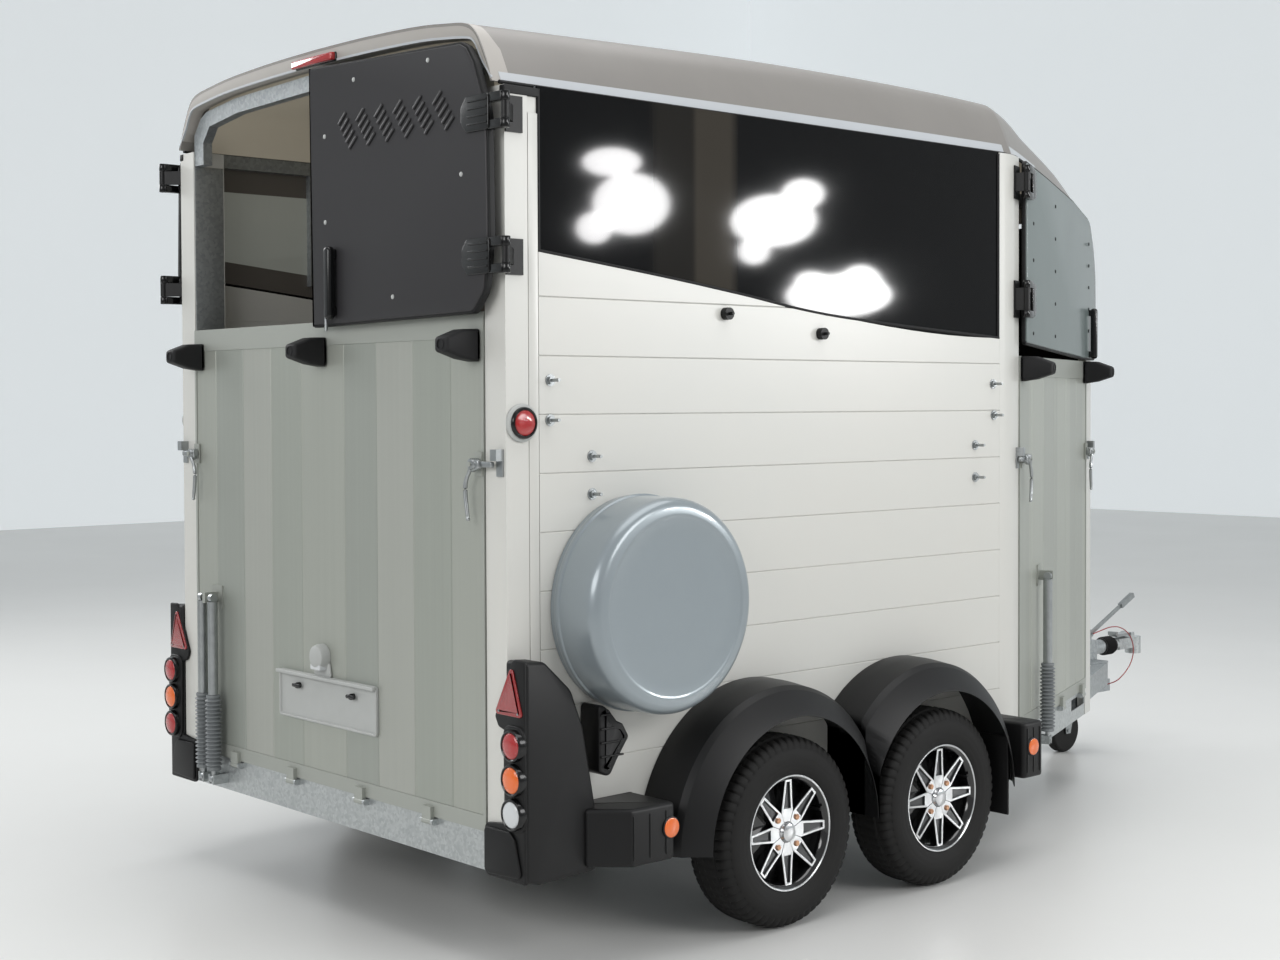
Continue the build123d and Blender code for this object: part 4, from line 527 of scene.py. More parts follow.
NODE_FINISH = {
    "chassis_frame": "galvanised steel", "sills": "bright galvanised",
    "drawbar": "galvanised steel", "breakaway_cable": "red cable sheath",
    "axles_and_springs": "galvanised steel", "floor_deck": "tread plate",
    "body_posts": "cream powder coat", "side_walls": "cream powder coat",
    "windows": "black glazing", "upper_frame": "galvanised steel",
    "front_walls": "cream powder coat", "roof": "roof gelcoat",
    "mudguards": "moulding plastic", "corner_mouldings": "moulding plastic",
    "lamps": "red lens", "reflectors": "red reflector", "spare_wheel": "tyre rubber",
    "spare_wheel_cover": "silver cover paint", "bolts_and_keepers": "zinc plate",
    "door_brackets": "black plastic", "wheel_chocks": "black plastic",
    "stall_frame": "bright galvanised", "coupling_head": "bright galvanised",
    "coupling_bellows": "seal rubber", "coupling_handle": "zinc plate",
    "handbrake_lever": "zinc plate", "jockey_leg": "zinc plate", "jockey_fork": "zinc plate",
    "jockey_wheel": "tyre rubber", "stall_partition": "padded vinyl",
    "groom_door": "cream powder coat", "rear_ramp_frame": "ramp rail",
    "rear_ramp_planks": "ramp plank", "rear_ramp_buffers": "buffer rubber",
    "number_plate_holder": "pale tray plastic", "rear_latch_right": "zinc plate",
    "rear_latch_left": "zinc plate", "front_ramp_frame": "ramp rail",
    "front_ramp_planks": "side ramp plank", "front_ramp_buffers": "buffer rubber",
    "front_latch_rearward": "zinc plate", "front_latch_forward": "zinc plate",
    "rear_strut_rods": "zinc plate", "rear_strut_boots": "grey boot rubber",
    "rear_strut_tubes": "zinc plate", "front_strut_rods": "zinc plate",
    "front_strut_boots": "grey boot rubber", "front_strut_tubes": "zinc plate",
    "rear_door_right": "charcoal powder coat", "rear_door_left": "charcoal powder coat",
    "front_door": "grey powder coat",
}
for wheel in TYRE_BOX:
    NODE_FINISH[f"{wheel}_tyre"] = "tyre rubber"
    NODE_FINISH[f"{wheel}_alloy_wheel"] = "machined alloy"


class TRAILER_OT_finishes(bpy.types.Operator):
    """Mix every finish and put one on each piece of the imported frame"""

    bl_idname = "trailer.finishes"
    bl_label = "Finishes"
    bl_options = {"REGISTER", "UNDO"}

    def execute(self, context):
        sizes = context.scene.trailer
        mix_finishes(sizes)
        for name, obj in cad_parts.items():
            for place in obj.material_slots:
                place.material = FINISH[NODE_FINISH[name]]
        return {"FINISHED"}


# ---- Roof ----------------------------------------------------------------------------

EAVES = POST_HIGH.z + 0.004
CROWN = CAD_HIGH.z
ROOF_HALF = 0.902          # half width of the roof over the straight part of the body
SHELL = 0.009              # thickness of its glass-fibre shell
# (distance from the rear, half width, drop of the eaves, drop of the crown)
ROOF_LINE = np.array(((-0.020, ROOF_HALF, 0.0, 0.041), (1.250, ROOF_HALF, 0.0, 0.0),
                      (2.330, ROOF_HALF, 0.0, 0.018), (2.712, 0.746, 0.022, 0.100),
                      (3.112, 0.584, 0.064, 0.190), (3.440, 0.452, 0.124, 0.304)))
# (share of the half width lost, share of the rise) from the eaves to the crown
CAMBER = np.array(((0.0, 0.0), (0.022, 0.22), (0.046, 0.44), (0.072, 0.64), (0.102, 0.765),
                   (0.140, 0.825), (0.200, 0.862), (0.361, 0.935), (0.631, 0.985),
                   (0.902, 1.0)))


class TRAILER_OT_roof(bpy.types.Operator):
    """Camber lofted along the body: half width and eaves run straight from station to
    station, the crown is a smooth curve, and each section is a smooth curve from eaves
    to crown that bends sharply where the side meets the top"""

    bl_idname = "trailer.roof"
    bl_label = "Roof"
    bl_options = {"REGISTER", "UNDO"}

    def section(self, at, drop=0.0, count=30):
        """Half width, eaves and crown at a distance from the rear, as points (x, z)."""
        half, low = (np.interp(at, ROOF_LINE[:, 0], ROOF_LINE[:, k]) for k in (1, 2))
        knots = through(ROOF_LINE[:, [0, 3]], 200)
        top = np.interp(at, knots[:, 0], knots[:, 1])
        camber = through(CAMBER, count)
        rise = CROWN - top - (EAVES - low)
        wide = (half - drop) * (1 - camber[:, 0] / ROOF_HALF)
        tall = EAVES - low + camber[:, 1] * (rise - drop)
        return self.arch(np.stack((wide, tall), 1))

    def arch(self, right):
        """The right half of an arch, from its foot to the centre line, with its mirror."""
        right[-1, 0] = 0
        return np.vstack((right, (right[:-1] * (-1, 1))[::-1]))

    def lofted(self, ats, outside, inside, part=slice(None), hand=1):
        """Closed rings, one at each distance from the rear, between two sections that are
        set in from the roof's surface by the two distances."""
        rings = []
        for at in ats:
            flat = np.vstack((self.section(at, outside)[part],
                              self.section(at, inside)[part][::-1]))
            rings.append(np.column_stack((hand * flat[:, 0], np.full(len(flat), REAR + at),
                                          flat[:, 1])))
        return rings

    def execute(self, context):
        shell = Build()
        start, end = ROOF_LINE[0, 0], ROOF_LINE[-1, 0]
        ats = np.unique(np.concatenate((np.linspace(start, end, 60), ROOF_LINE[:, 0])))
        shell.grid(self.lofted(ats, 0.0, SHELL), FINISH["roof gelcoat"])
        # The nose end is closed with a panel under the shell.
        nose = self.section(end, 0.005)
        shell.grid([np.column_stack((nose[:, 0], np.full(len(nose), REAR + at), nose[:, 1]))
                    for at in (end - 0.008, end - 0.001)], FINISH["roof gelcoat"])
        shell.make("roof_shell", "root", "grp_grey", "roof", crease=50)

        # Rear rim: a band round the doorway whose edge is rounded front and back.
        rim = Build()
        outer = self.section(start)
        inside = np.array(((0.897, 2.506), (0.872, 2.538), (0.848, 2.569), (0.832, 2.598),
                           (0.814, 2.620), (0.784, 2.632), (0.680, 2.645), (0.548, 2.656),
                           (0.300, 2.664), (0.0, 2.668)))
        inner = self.arch(through(inside, (len(outer) + 1) // 2))
        loops = []
        for share, at in ((0, 0.045), (0.0, -0.014), (0.06, -0.019), (0.5, -0.021),
                          (0.94, -0.019), (1.0, -0.014), (1.0, 0.026), (0.5, 0.036)):
            flat = outer * (1 - share) + inner * share + (0, 0.001)
            loops.append(np.column_stack((flat[:, 0], np.full(len(flat), REAR + at),
                                          flat[:, 1])))
        # The rim's paler gelcoat is painted highlight.
        rim.grid(np.stack(loops, 1), FINISH["rim gelcoat painted highlight"])
        rim.make("roof_rear_rim", "root", "grp_grey", crease=40)

        # Pale lining with a painted glow, a few millimetres under the shell.
        lining = Build()
        lining.grid(self.lofted(np.linspace(0.05, end - 0.05, 40), SHELL + 0.004,
                                SHELL + 0.008), FINISH["beige lining"])
        lining.make("roof_lining", "root", "grp_grey", crease=50)

        # Black seal under the eaves.
        seal = Build()
        side = np.array([(at, np.interp(at, ROOF_LINE[:, 0], ROOF_LINE[:, 1]),
                          EAVES - np.interp(at, ROOF_LINE[:, 0], ROOF_LINE[:, 2]))
                         for at in np.linspace(0.0, end - 0.02, 40)])
        for hand in (1, -1):
            path = np.column_stack((hand * (side[:, 1] + 0.004), REAR + side[:, 0],
                                    side[:, 2] - 0.001))
            seal.tube(path, 0.006, FINISH["seal rubber"], steps=8)
        seal.make("roof_eaves_seal", "root", "rubber")

        # Painted highlight: pale strips along the foot of each roof side, and a bright strip over
        # the doorway.
        painted_highlight = Build()
        for hand in (1, -1):
            painted_highlight.grid(self.lofted(np.linspace(start + 0.030, 2.690, 40), -0.0014, 0.003,
                                    slice(3), hand), FINISH["painted gelcoat highlight"])
        rows = [np.column_stack((inner[:, 0], np.full(len(inner), REAR + at),
                                 inner[:, 1] + lift))
                for at, lift in ((-0.0150, 0.001), (-0.0215, 0.001), (-0.0215, 0.008),
                                 (-0.0150, 0.008))]
        painted_highlight.grid(np.stack(rows, 1), FINISH["painted gelcoat highlight"])
        painted_highlight.make("roof_painted_highlights", "root", "grp_grey", crease=40)
        return {"FINISHED"}


# ---- Wheels --------------------------------------------------------------------------

NUT_CIRCLE = 0.058                      # radius of the circle of nuts
VALVE_AT, VALVE_TURN = 0.147, 0.35      # valve: distance from the hub, and angle
SPOKES_IN = 0.024                       # spokes' face, in from the tyre's outer side


def smooth_step(x):
    """0 below 0, 1 above 1, and a soft curve between."""
    x = np.clip(x, 0, 1)
    return x * x * (3 - 2 * x)


class TRAILER_OT_wheels(bpy.types.Operator):
    """Tyres as a lathed section cut by tread blocks, and alloy wheels whose spokes are
    kite-shaped loops of machined bar with painted pockets between them"""

    bl_idname = "trailer.wheels"
    bl_label = "Tyres and alloy wheels"
    bl_options = {"REGISTER", "UNDO"}

    def tyre(self, centre, side, outer):
        """Section (radius, in from the outer side); the shoulder's radius drops in slots
        that repeat round the tyre, and four grooves run round the tread."""
        across, shoulder_at, pitch = 0.182, 0.044, 60
        grooves_at, groove_half = (0.014, 0.042), 0.005
        half = np.array(((0.176, 0.016), (0.181, 0.010), (0.196, 0.004), (0.215, 0.0005),
                         (0.232, 0.0), (0.248, 0.0025), (0.262, 0.008), (0.274, 0.013),
                         (0.283, 0.019), (0.2885, 0.027), (0.2915, 0.040), (0.2932, 0.060),
                         (0.2940, 0.091)))
        right = through(half, 34)
        section = np.vstack((right, np.column_stack((right[:-1, 0],
                                                     across - right[:-1, 1]))[::-1]))
        steps = 300
        angle = np.arange(steps) * 2 * math.pi / steps
        radius, along = section[:, :1], section[:, 1:]
        from_mid = np.abs(along - across / 2)
        groove = sum(smooth_step(1 - np.abs(from_mid - at) / groove_half)
                     for at in grooves_at)
        tread = smooth_step((radius - 0.284) / 0.004)
        turn = (angle[None] * pitch / (2 * math.pi) + 2.2 * along) % 1.0
        slot = smooth_step(1.25 - np.abs(turn - 0.5) * 6)
        shoulder = (smooth_step((from_mid - shoulder_at) / 0.008)
                    * smooth_step((radius - 0.258) / 0.008))
        sipe = tread * smooth_step((shoulder_at - from_mid) / 0.004) * slot * 0.5
        deep = 0.0065 * np.maximum(groove * tread, np.maximum(shoulder * slot, sipe))
        rib = 0.0007 * (np.sin(radius * 2 * math.pi / 0.0105) > 0.2) * (radius < 0.257)
        r = radius - deep
        x = along + rib * np.sign(along - across / 2) + 0 * angle
        points = np.stack((side * (outer - x), centre[1] + r * np.cos(angle),
                           centre[2] + r * np.sin(angle)), -1)
        body = Build()
        # A second, hidden run through the bead closes the section into a ring.
        inside = np.array(((0.172, across - 0.020), (0.170, across / 2), (0.172, 0.020)))
        hidden = np.stack((side * (outer - inside[:, 1:] + 0 * angle),
                           centre[1] + inside[:, :1] * np.cos(angle),
                           centre[2] + inside[:, :1] * np.sin(angle)), -1)
        whole = np.concatenate((points, hidden, points[:1]))
        body.grid(whole, FINISH["tyre rubber"], caps=False)
        return body

    def spoke(self, build, place, share):
        """Kite outline, half width by distance from the hub: it widens beside the line where
        it meets the next spoke, then narrows to a flat end at the rim. A bar of machined metal
        runs round it, and the pocket inside is sunk and painted."""
        slope = math.tan(math.radians(share)) * 0.985
        radii = np.array((0.030, 0.056, 0.066, 0.110, 0.163))
        wide = np.array((slope * 0.030, slope * 0.056, 0.0245, 0.0195, 0.0140))
        line = through(np.column_stack((radii, wide)), 14)
        line[:, 1] = np.maximum(line[:, 1], 0.001)
        outline = np.vstack((line, (line * (1, -1))[::-1]))
        ground, pocket, bar, chamfer = -0.030, -0.007, 0.0080, 0.0012
        inner = inset(outline, bar)
        keep = np.sign(inner[:, 1]) == np.sign(outline[:, 1])
        inner[:, 1] = np.where(keep, inner[:, 1], 0.0004 * np.sign(outline[:, 1]))
        inner[:, 0] = np.clip(inner[:, 0], 0.072, 0.155)
        rows = []
        for flat, height in ((outline, ground), (outline, -chamfer),
                             (inset(outline, chamfer), 0),
                             (inner * 0.02 + inset(outline, bar - 0.001) * 0.98, 0),
                             (inner, -0.001), (inner, pocket)):
            lift = 0.006 * (flat[:, 0] / 0.16) ** 2
            rows.append(np.column_stack((flat, lift + height)))
        bright, dark = FINISH["machined alloy"], FINISH["charcoal wheel paint"]
        build.grid(place(np.stack(rows)), bright,
                   rows={0: FINISH["black wheel lacquer"], 4: dark, "last": dark})

    def alloy(self, centre, side, face, spokes):
        """Rim, dish, spokes, hub cap, four nuts and a valve; all profiles are (radius, out from
        the spokes' face)."""
        wheel = Build()
        axis = (side, 0, 0)
        origin = np.array((side * face, centre[1], centre[2]))
        bright, black = FINISH["machined alloy"], FINISH["black wheel lacquer"]
        rim = ((0.150, -0.150), (0.152, -0.060), (0.155, -0.012), (0.160, 0.004),
               (0.1655, 0.010), (0.1715, 0.0150), (0.1735, 0.0165), (0.1770, 0.0162),
               (0.1805, 0.0125), (0.1805, 0.006), (0.174, 0.002), (0.171, -0.020),
               (0.171, -0.125), (0.1805, -0.145), (0.1805, -0.149), (0.172, -0.150),
               (0.150, -0.150))
        wheel.lathe(rim, origin, axis, FINISH["charcoal wheel paint"], steps=96,
                    rows={5: bright, 6: bright, 4: black,
                          0: black, 1: black, 2: black, 3: black})
        dish = ((0.0, -0.045), (0.151, -0.045), (0.153, -0.038), (0.110, -0.030),
                (0.050, -0.020), (0.0, -0.018))
        wheel.lathe(dish, origin, axis, black, steps=64)
        share = 180 / spokes
        for number in range(spokes):
            angle = number * 2 * math.pi / spokes
            across = (0, math.cos(angle), math.sin(angle))
            up = (0, -side * math.sin(angle), side * math.cos(angle))
            self.spoke(wheel, plane(origin, across, up), share)
        hub = ((0.0, -0.03), (0.044, -0.03), (0.044, -0.004), (0.041, -0.001), (0.031, 0.0005),
               (0.029, 0.004), (0.0265, 0.010), (0.020, 0.0125), (0.010, 0.0135), (0.0, 0.0138))
        wheel.lathe(hub, origin, axis, bright, steps=48, rows={1: black, 2: black, 3: black})
        for number in range(4):
            angle = math.pi / 4 + number * math.pi / 2
            spot = origin + NUT_CIRCLE * np.array((0, math.cos(angle), math.sin(angle)))
            wheel.lathe(((0.0, -0.02), (0.0135, -0.02), (0.0135, -0.004), (0.0128, -0.003),
                         (0.0, -0.003)), spot, axis, black, steps=20)
            wheel.lathe(((0.0, -0.01), (0.0095, -0.01), (0.0095, 0.004), (0.0082, 0.006),
                         (0.0, 0.0065)), spot, axis, FINISH["yellow zinc nut"], steps=6)
        valve = origin + VALVE_AT * np.array((0, math.cos(VALVE_TURN), math.sin(VALVE_TURN)))
        wheel.tube([valve + np.array(axis) * d for d in (-0.03, 0.0, 0.012)], 0.004,
                   FINISH["seal rubber"])
        return wheel

    def execute(self, context):
        sizes = context.scene.trailer
        for name, (low, high) in TYRE_BOX.items():
            side = 1 if name.endswith("right") else -1
            centre = ((low + high) / 2)
            outer = max(abs(low.x), abs(high.x))
            body = f"wheel_{name}"
            self.tyre(centre, side, outer).make(
                f"{name}_tread_tyre", body, "tyre", f"{name}_tyre", crease=28)
            face = outer - SPOKES_IN
            self.alloy(centre, side, face, sizes.spokes).make(
                f"{name}_spoked_alloy", body, "alloy", f"{name}_alloy_wheel", crease=32)
        return {"FINISHED"}


# ---- Mudguards -----------------------------------------------------------------------

VALLEY = REAR + (0.950 + 1.6805) / 2    # where the two arches of a side meet
ARCH_LEVEL = 0.290                      # centre of both arches, a little below the hubs


class TRAILER_OT_mudguards(bpy.types.Operator):
    """Each arch turns a section about its axle's line: y = axle - r cos(t) and
    z = level + r sin(t) for t from 0 to pi, cut off square where the two arches meet and at
    their outer ends"""

    bl_idname = "trailer.mudguards"
    bl_label = "Mudguards"
    bl_options = {"REGISTER", "UNDO"}

    def execute(self, context):
        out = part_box("mudguards")[1].x
        # Section of the arch: wide top, bevel, side face; then back along the inside.
        outline = ((HALF + 0.001, 0.462), (HALF + 0.060, 0.461), (HALF + 0.144, 0.452),
                   (HALF + 0.163, 0.439), (out, 0.366), (out - 0.0035, 0.3655),
                   (HALF + 0.160, 0.434), (HALF + 0.142, 0.446), (HALF + 0.060, 0.455),
                   (HALF + 0.001, 0.456))
        ring_ = rounded(outline, (0.001, 0.3, 0.004, 0.004, 0.0008, 0.0008, 0.004, 0.004, 0.3,
                                  0.001), 5)
        spans = (("rear_right", -0.005, REAR + 0.400, VALLEY - 0.001),
                 ("front_right", -0.025, VALLEY + 0.001, REAR + 2.100))
        for hand in (1, -1):
            word = "right" if hand > 0 else "left"
            body = Build()
            for wheel, shift, first, last in spans:
                low, high = TYRE_BOX[wheel]
                axle = (low.y + high.y) / 2 + shift
                # A little past level at both ends; the height is then held at the level.
                turns = np.linspace(-0.02, math.pi + 0.02, 90)
                r = ring_[:, 1]
                y = axle - r[None] * np.cos(turns[:, None])
                z = ARCH_LEVEL + r[None] * np.maximum(np.sin(turns[:, None]), 0)
                y = np.clip(y, first, last)
                x = np.broadcast_to(ring_[:, 0], y.shape)
                body.grid(np.stack((hand * x, y, z), -1), FINISH["moulding plastic"])
            place = SIDE_FACE if hand > 0 else mirrored(SIDE_FACE)
            body.slab(place, oblong(2.010, 2.018, 0.190, 0.460, 0.003), 0.070, 0.200,
                      FINISH["seal rubber"])
            body.make(f"mudguards_{word}", "root", "black_plastic",
                      *(["mudguards"] if hand > 0 else []), crease=35)
        return {"FINISHED"}


# ---- Corner mouldings, chocks, lamps -------------------------------------------------

def both(build, place, *args, **kwargs):
    """The same slab on a right-hand face and on its mirror image."""
    for face in (place, mirrored(place)):
        build.slab(face, *args, **kwargs)


class TRAILER_OT_mouldings(bpy.types.Operator):
    """Lamp housings and skirts: outlines with round corners, carried out from the side and
    closed with round edges, with raised ribs where the real mouldings are joined"""

    bl_idname = "trailer.mouldings"
    bl_label = "Corner mouldings"
    bl_options = {"REGISTER", "UNDO"}

    def execute(self, context):
        plastic, black = FINISH["moulding plastic"], FINISH["black plastic"]
        side = rounded(((-0.010, 0.900), (0.062, 0.895), (0.157, 0.808), (0.200, 0.700),
                        (0.250, 0.440), (0.250, 0.285), (0.040, 0.277), (-0.010, 0.290)),
                       (0.012, 0.03, 0.06, 0.08, 0.05, 0.02, 0.02, 0.012), 6)
        back = rounded(((HALF + 0.0895, 0.903), (HALF + 0.0375, 0.905), (HALF - 0.0445, 0.738),
                        (HALF - 0.0285, 0.710), (HALF + 0.0075, 0.700), (HALF + 0.0075, 0.445),
                        (HALF - 0.0945, 0.432), (HALF - 0.0945, 0.284),
                        (HALF + 0.0895, 0.284)),
                       (0.006, 0.02, 0.012, 0.01, 0.01, 0.01, 0.02, 0.02, 0.006), 5)
        body = Build()
        both(body, SIDE_FACE, side, 0.001, 0.092, plastic, edge=0.012)
        both(body, REAR_FACE, back, 0.001, 0.012, plastic, edge=0.004)
        # Raised lamp panel, outlined by a groove, and a ledge below the reflector.
        panel = rounded(((HALF - 0.001, 0.722), (HALF + 0.092, 0.722), (HALF + 0.100, 0.432),
                         (HALF + 0.004, 0.425)), 0.03, 6)
        both(body, REAR_FACE, panel, 0.008, 0.018, plastic, edge=0.006)
        both(body, REAR_FACE, inset(panel, 0.007), 0.012, 0.0195, black, edge=0.002)
        lower = rounded(((HALF - 0.088, 0.424), (HALF + 0.030, 0.424), (HALF + 0.050, 0.405),
                         (HALF + 0.080, 0.300), (HALF - 0.088, 0.292)), 0.015, 5)
        both(body, REAR_FACE, lower, 0.010, 0.020, plastic, edge=0.005)
        # Skirts: shelves open underneath, with three upright seams.
        plan = plane((HALF, REAR, 0), (1, 0, 0), (0, 1, 0))
        for start, end, low, top, swept in ((0.251, 0.458, 0.300, 0.466, 0.070),
                                            (2.108, 2.226, 0.296, 0.492, 0.020)):
            outline = rounded(((0.001, start - swept + 0.020), (0.100, start - swept + 0.020),
                               (0.190, start + swept * 0.6), (0.190, end), (0.001, end)),
                              (0.004, 0.02, 0.02, 0.012, 0.004), 5)
            both(body, plan, outline, low, top, plastic, edge=0.012)
            for share in np.linspace(0.22, 0.82, 3):
                at = start + share * (end - start)
                seam = oblong(at, at + 0.004, low + 0.02, top - 0.02, 0.001, 3)
                both(body, SIDE_FACE, seam, 0.185, 0.1925, black, edge=0.001)
        body.make("corner_mouldings_grained", "root", "black_plastic", "corner_mouldings")

        chock = Build()
        wedge = rounded(((0.262, 0.560), (0.262, 0.760), (0.300, 0.735), (0.330, 0.700),
                         (0.352, 0.690), (0.376, 0.650), (0.330, 0.588), (0.300, 0.540)),
                        (0.012, 0.02, 0.02, 0.01, 0.01, 0.012, 0.02, 0.02), 5)
        both(chock, SIDE_FACE, wedge, 0.001, 0.086, black, edge=0.006)
        both(chock, SIDE_FACE, inset(wedge, 0.022), 0.080, 0.0885, plastic, edge=0.003)
        for height in (0.60, 0.64, 0.68, 0.72):
            rib = oblong(0.264, 0.350 - (height - 0.6) * 0.4, height, height + 0.006, 0.002, 3)
            both(chock, SIDE_FACE, rib, 0.084, 0.092, black, edge=0.002)
        chock.make("wheel_chocks_ribbed", "root", "black_plastic", "wheel_chocks")
        return {"FINISHED"}


LAMP_LEVELS = (0.668, 0.573, 0.478)        # the three round lamps of a rear corner
SIDE_LAMP = (0.053, 1.555)                 # (distance from the rear, height)


class TRAILER_OT_lamps(bpy.types.Operator):
    """Round lamps: a lathed barrel with a bezel and a domed lens on each; reflectors:
    a rounded triangle and two discs"""

    bl_idname = "trailer.lamps"
    bl_label = "Lamps and reflectors"
    bl_options = {"REGISTER", "UNDO"}

    def round_lamp(self, build, place, centre, radius, low, high, lens):
        """Barrel, bezel and shallow dome about one axis square to the face."""
        origin, out = out_of(place, *centre)
        black = FINISH["gloss black plastic"]
        barrel = ((0, low), (radius, low), (radius, high - 0.006), (radius - 0.002, high - 0.002),
                  (radius - 0.006, high), (radius - 0.009, high - 0.002),
                  (radius - 0.009, high - 0.006), (0, high - 0.006))
        build.lathe(barrel, origin, out, black, steps=48)
        r = radius - 0.0085
        angle = np.linspace(0, math.pi / 2, 9)
        dome = np.column_stack((r * np.cos(angle), high - 0.005 + 0.010 * np.sin(angle)))
        dome[:, 0] = np.maximum(dome[:, 0], 0)
        base = ((0, high - 0.008), (r, high - 0.008))
        build.lathe(np.vstack((base, dome)), origin, out, FINISH[lens], steps=48)

    def execute(self, context):
        lamps = Build()
        for place, lenses in ((REAR_FACE, ("red lens", "amber lens", "clear lens")),
                              (mirrored(REAR_FACE), ("red lens", "amber lens", "red lens"))):
            for level, lens in zip(LAMP_LEVELS, lenses):
                self.round_lamp(lamps, place, (HALF + 0.0535, level), 0.0455, 0.012, 0.036,
                                lens)
        for place in (SIDE_FACE, mirrored(SIDE_FACE)):
            origin, out = out_of(place, *SIDE_LAMP)
            lamps.lathe(((0, 0.0004), (0.054, 0.0004), (0.054, 0.006), (0.050, 0.010),
                         (0.044, 0.012), (0.0, 0.012)), origin, out,
                        FINISH["pale tray plastic"], steps=48)
            self.round_lamp(lamps, place, SIDE_LAMP, 0.045, 0.010, 0.022, "red lens")
        bar = oblong(-0.118, 0.118, 2.667, 2.696, 0.006, 5)
        lamps.slab(REAR_FACE, bar, 0.018, 0.026, FINISH["gloss black plastic"], edge=0.003)
        lamps.slab(REAR_FACE, inset(bar, 0.002), 0.024, 0.043, FINISH["red lens"], edge=0.005)
        lamps.make("lamps_with_lenses", "root", "lens", "lamps")

        shapes = Build()
        triangle = rounded(((HALF + 0.0375, 0.892), (HALF - 0.0405, 0.746),
                            (HALF + 0.0855, 0.746)), 0.010, 6)
        both(shapes, REAR_FACE, triangle, 0.011, 0.0165, FINISH["red reflector"], edge=0.002)
        both(shapes, REAR_FACE, inset(triangle, 0.012), 0.014, 0.018, FINISH["red reflector"],
             edge=0.001)
        for spot in ((HALF - 0.018, 0.756), (HALF + 0.066, 0.756)):
            for face in (REAR_FACE, mirrored(REAR_FACE)):
                shapes.lathe(((0, 0.016), (0.0038, 0.016), (0.0034, 0.0185), (0, 0.0192)),
                             *out_of(face, *spot), FINISH["zinc plate"], steps=12)
        for spot in ((0.440, 0.394), (2.166, 0.405)):
            for face in (SIDE_FACE, mirrored(SIDE_FACE)):
                origin, out = out_of(face, *spot)
                shapes.lathe(((0, 0.1885), (0.032, 0.1885), (0.032, 0.193), (0.029, 0.195),
                              (0, 0.195)), origin, out, FINISH["black plastic"], steps=40)
                shapes.lathe(((0, 0.193), (0.028, 0.193), (0.028, 0.196), (0.025, 0.1975),
                              (0, 0.1985)), origin, out, FINISH["amber lens"], steps=40)
        shapes.make("reflector_set", "root", "lens", "reflectors")
        return {"FINISHED"}


class TRAILER_OT_spare_cover(bpy.types.Operator):
    """Lathed cover: flat face, raised centre ring, a rolled shoulder and a rim bead"""

    bl_idname = "trailer.spare_cover"
    bl_label = "Spare wheel cover"
    bl_options = {"REGISTER", "UNDO"}

    def execute(self, context):
        low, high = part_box("spare_wheel_cover")
        centre = (low + high) / 2
        radius, depth = (high.z - low.z) / 2, high.x - HALF
        corner = np.linspace(0, math.pi / 2, 12)
        shoulder = np.column_stack((radius - 0.036 + 0.034 * np.sin(corner),
                                    depth - 0.040 + 0.038 * np.cos(corner)))
        profile = np.vstack((((0.0, depth - 0.0060), (0.070, depth - 0.0056),
                              (0.140, depth - 0.0044), (0.200, depth - 0.0030),
                              (0.255, depth - 0.0022), (0.259, depth - 0.0012),
                              (0.262, depth), (0.268, depth + 0.0004)), shoulder,
                             ((radius - 0.001, 0.090), (radius - 0.001, 0.040),
                              (radius + 0.0035, 0.036), (radius + 0.0045, 0.028),
                              (radius + 0.0035, 0.020), (radius, 0.016), (radius, 0.001),
                              (radius - 0.004, 0.001), (radius - 0.005, 0.090),
                              (radius - 0.064, depth - 0.006), (0.0, depth - 0.008))))
        cover = Build()
        axis = np.array((HALF, centre.y, centre.z))
        cover.lathe(profile, axis, (1, 0, 0), FINISH["silver cover paint"], steps=120)
        cover.make("spare_cover_moulded", "root", "cover_grey", "spare_wheel_cover", crease=40)
        return {"FINISHED"}


# ---- Top doors -----------------------------------------------------------------------

PIN_ASIDE, PIN_OUT = 0.0565, 0.040     # rear hinge pins: past the side wall, behind the rear
KNUCKLE = 0.026                        # height of one hinge knuckle


def knuckle(build, place, leaf, depth, pin):
    """Hinge knuckle: a flat leaf, and a barrel with soft ends about the pin."""
    black = FINISH["gloss black plastic"]
    build.slab(place, leaf, *depth, black, edge=0.003)
    start = place(np.array(pin))
    build.lathe(((0.0062, 0.0), (0.0115, 0.0), (0.0125, 0.0015), (0.0125, KNUCKLE - 0.0015),
                 (0.0115, KNUCKLE), (0.0062, KNUCKLE), (0.0062, 0.0)), start,
                place(np.array(pin) + (0, 1, 0)) - start, black, steps=28)


def grip(build, place, face, bar, pads):
    """Long round-edged grip on flat feet."""
    black = FINISH["gloss black plastic"]
    build.slab(place, bar, face + 0.006, face + 0.033, black, edge=0.010)
    for pad in pads:
        build.slab(place, pad, face - 0.001, face + 0.012, black, edge=0.002)


def fold(place, pivot, degrees):
    """The face turned about an upright line through pivot."""
    turn = math.radians(degrees)
    matrix = np.array(((math.cos(turn), math.sin(turn), 0), (-math.sin(turn), math.cos(turn), 0),
                       (0, 0, 1)))
    pivot = np.array((*pivot, 0.0))
    return lambda points: (place(points) - pivot) @ matrix + pivot


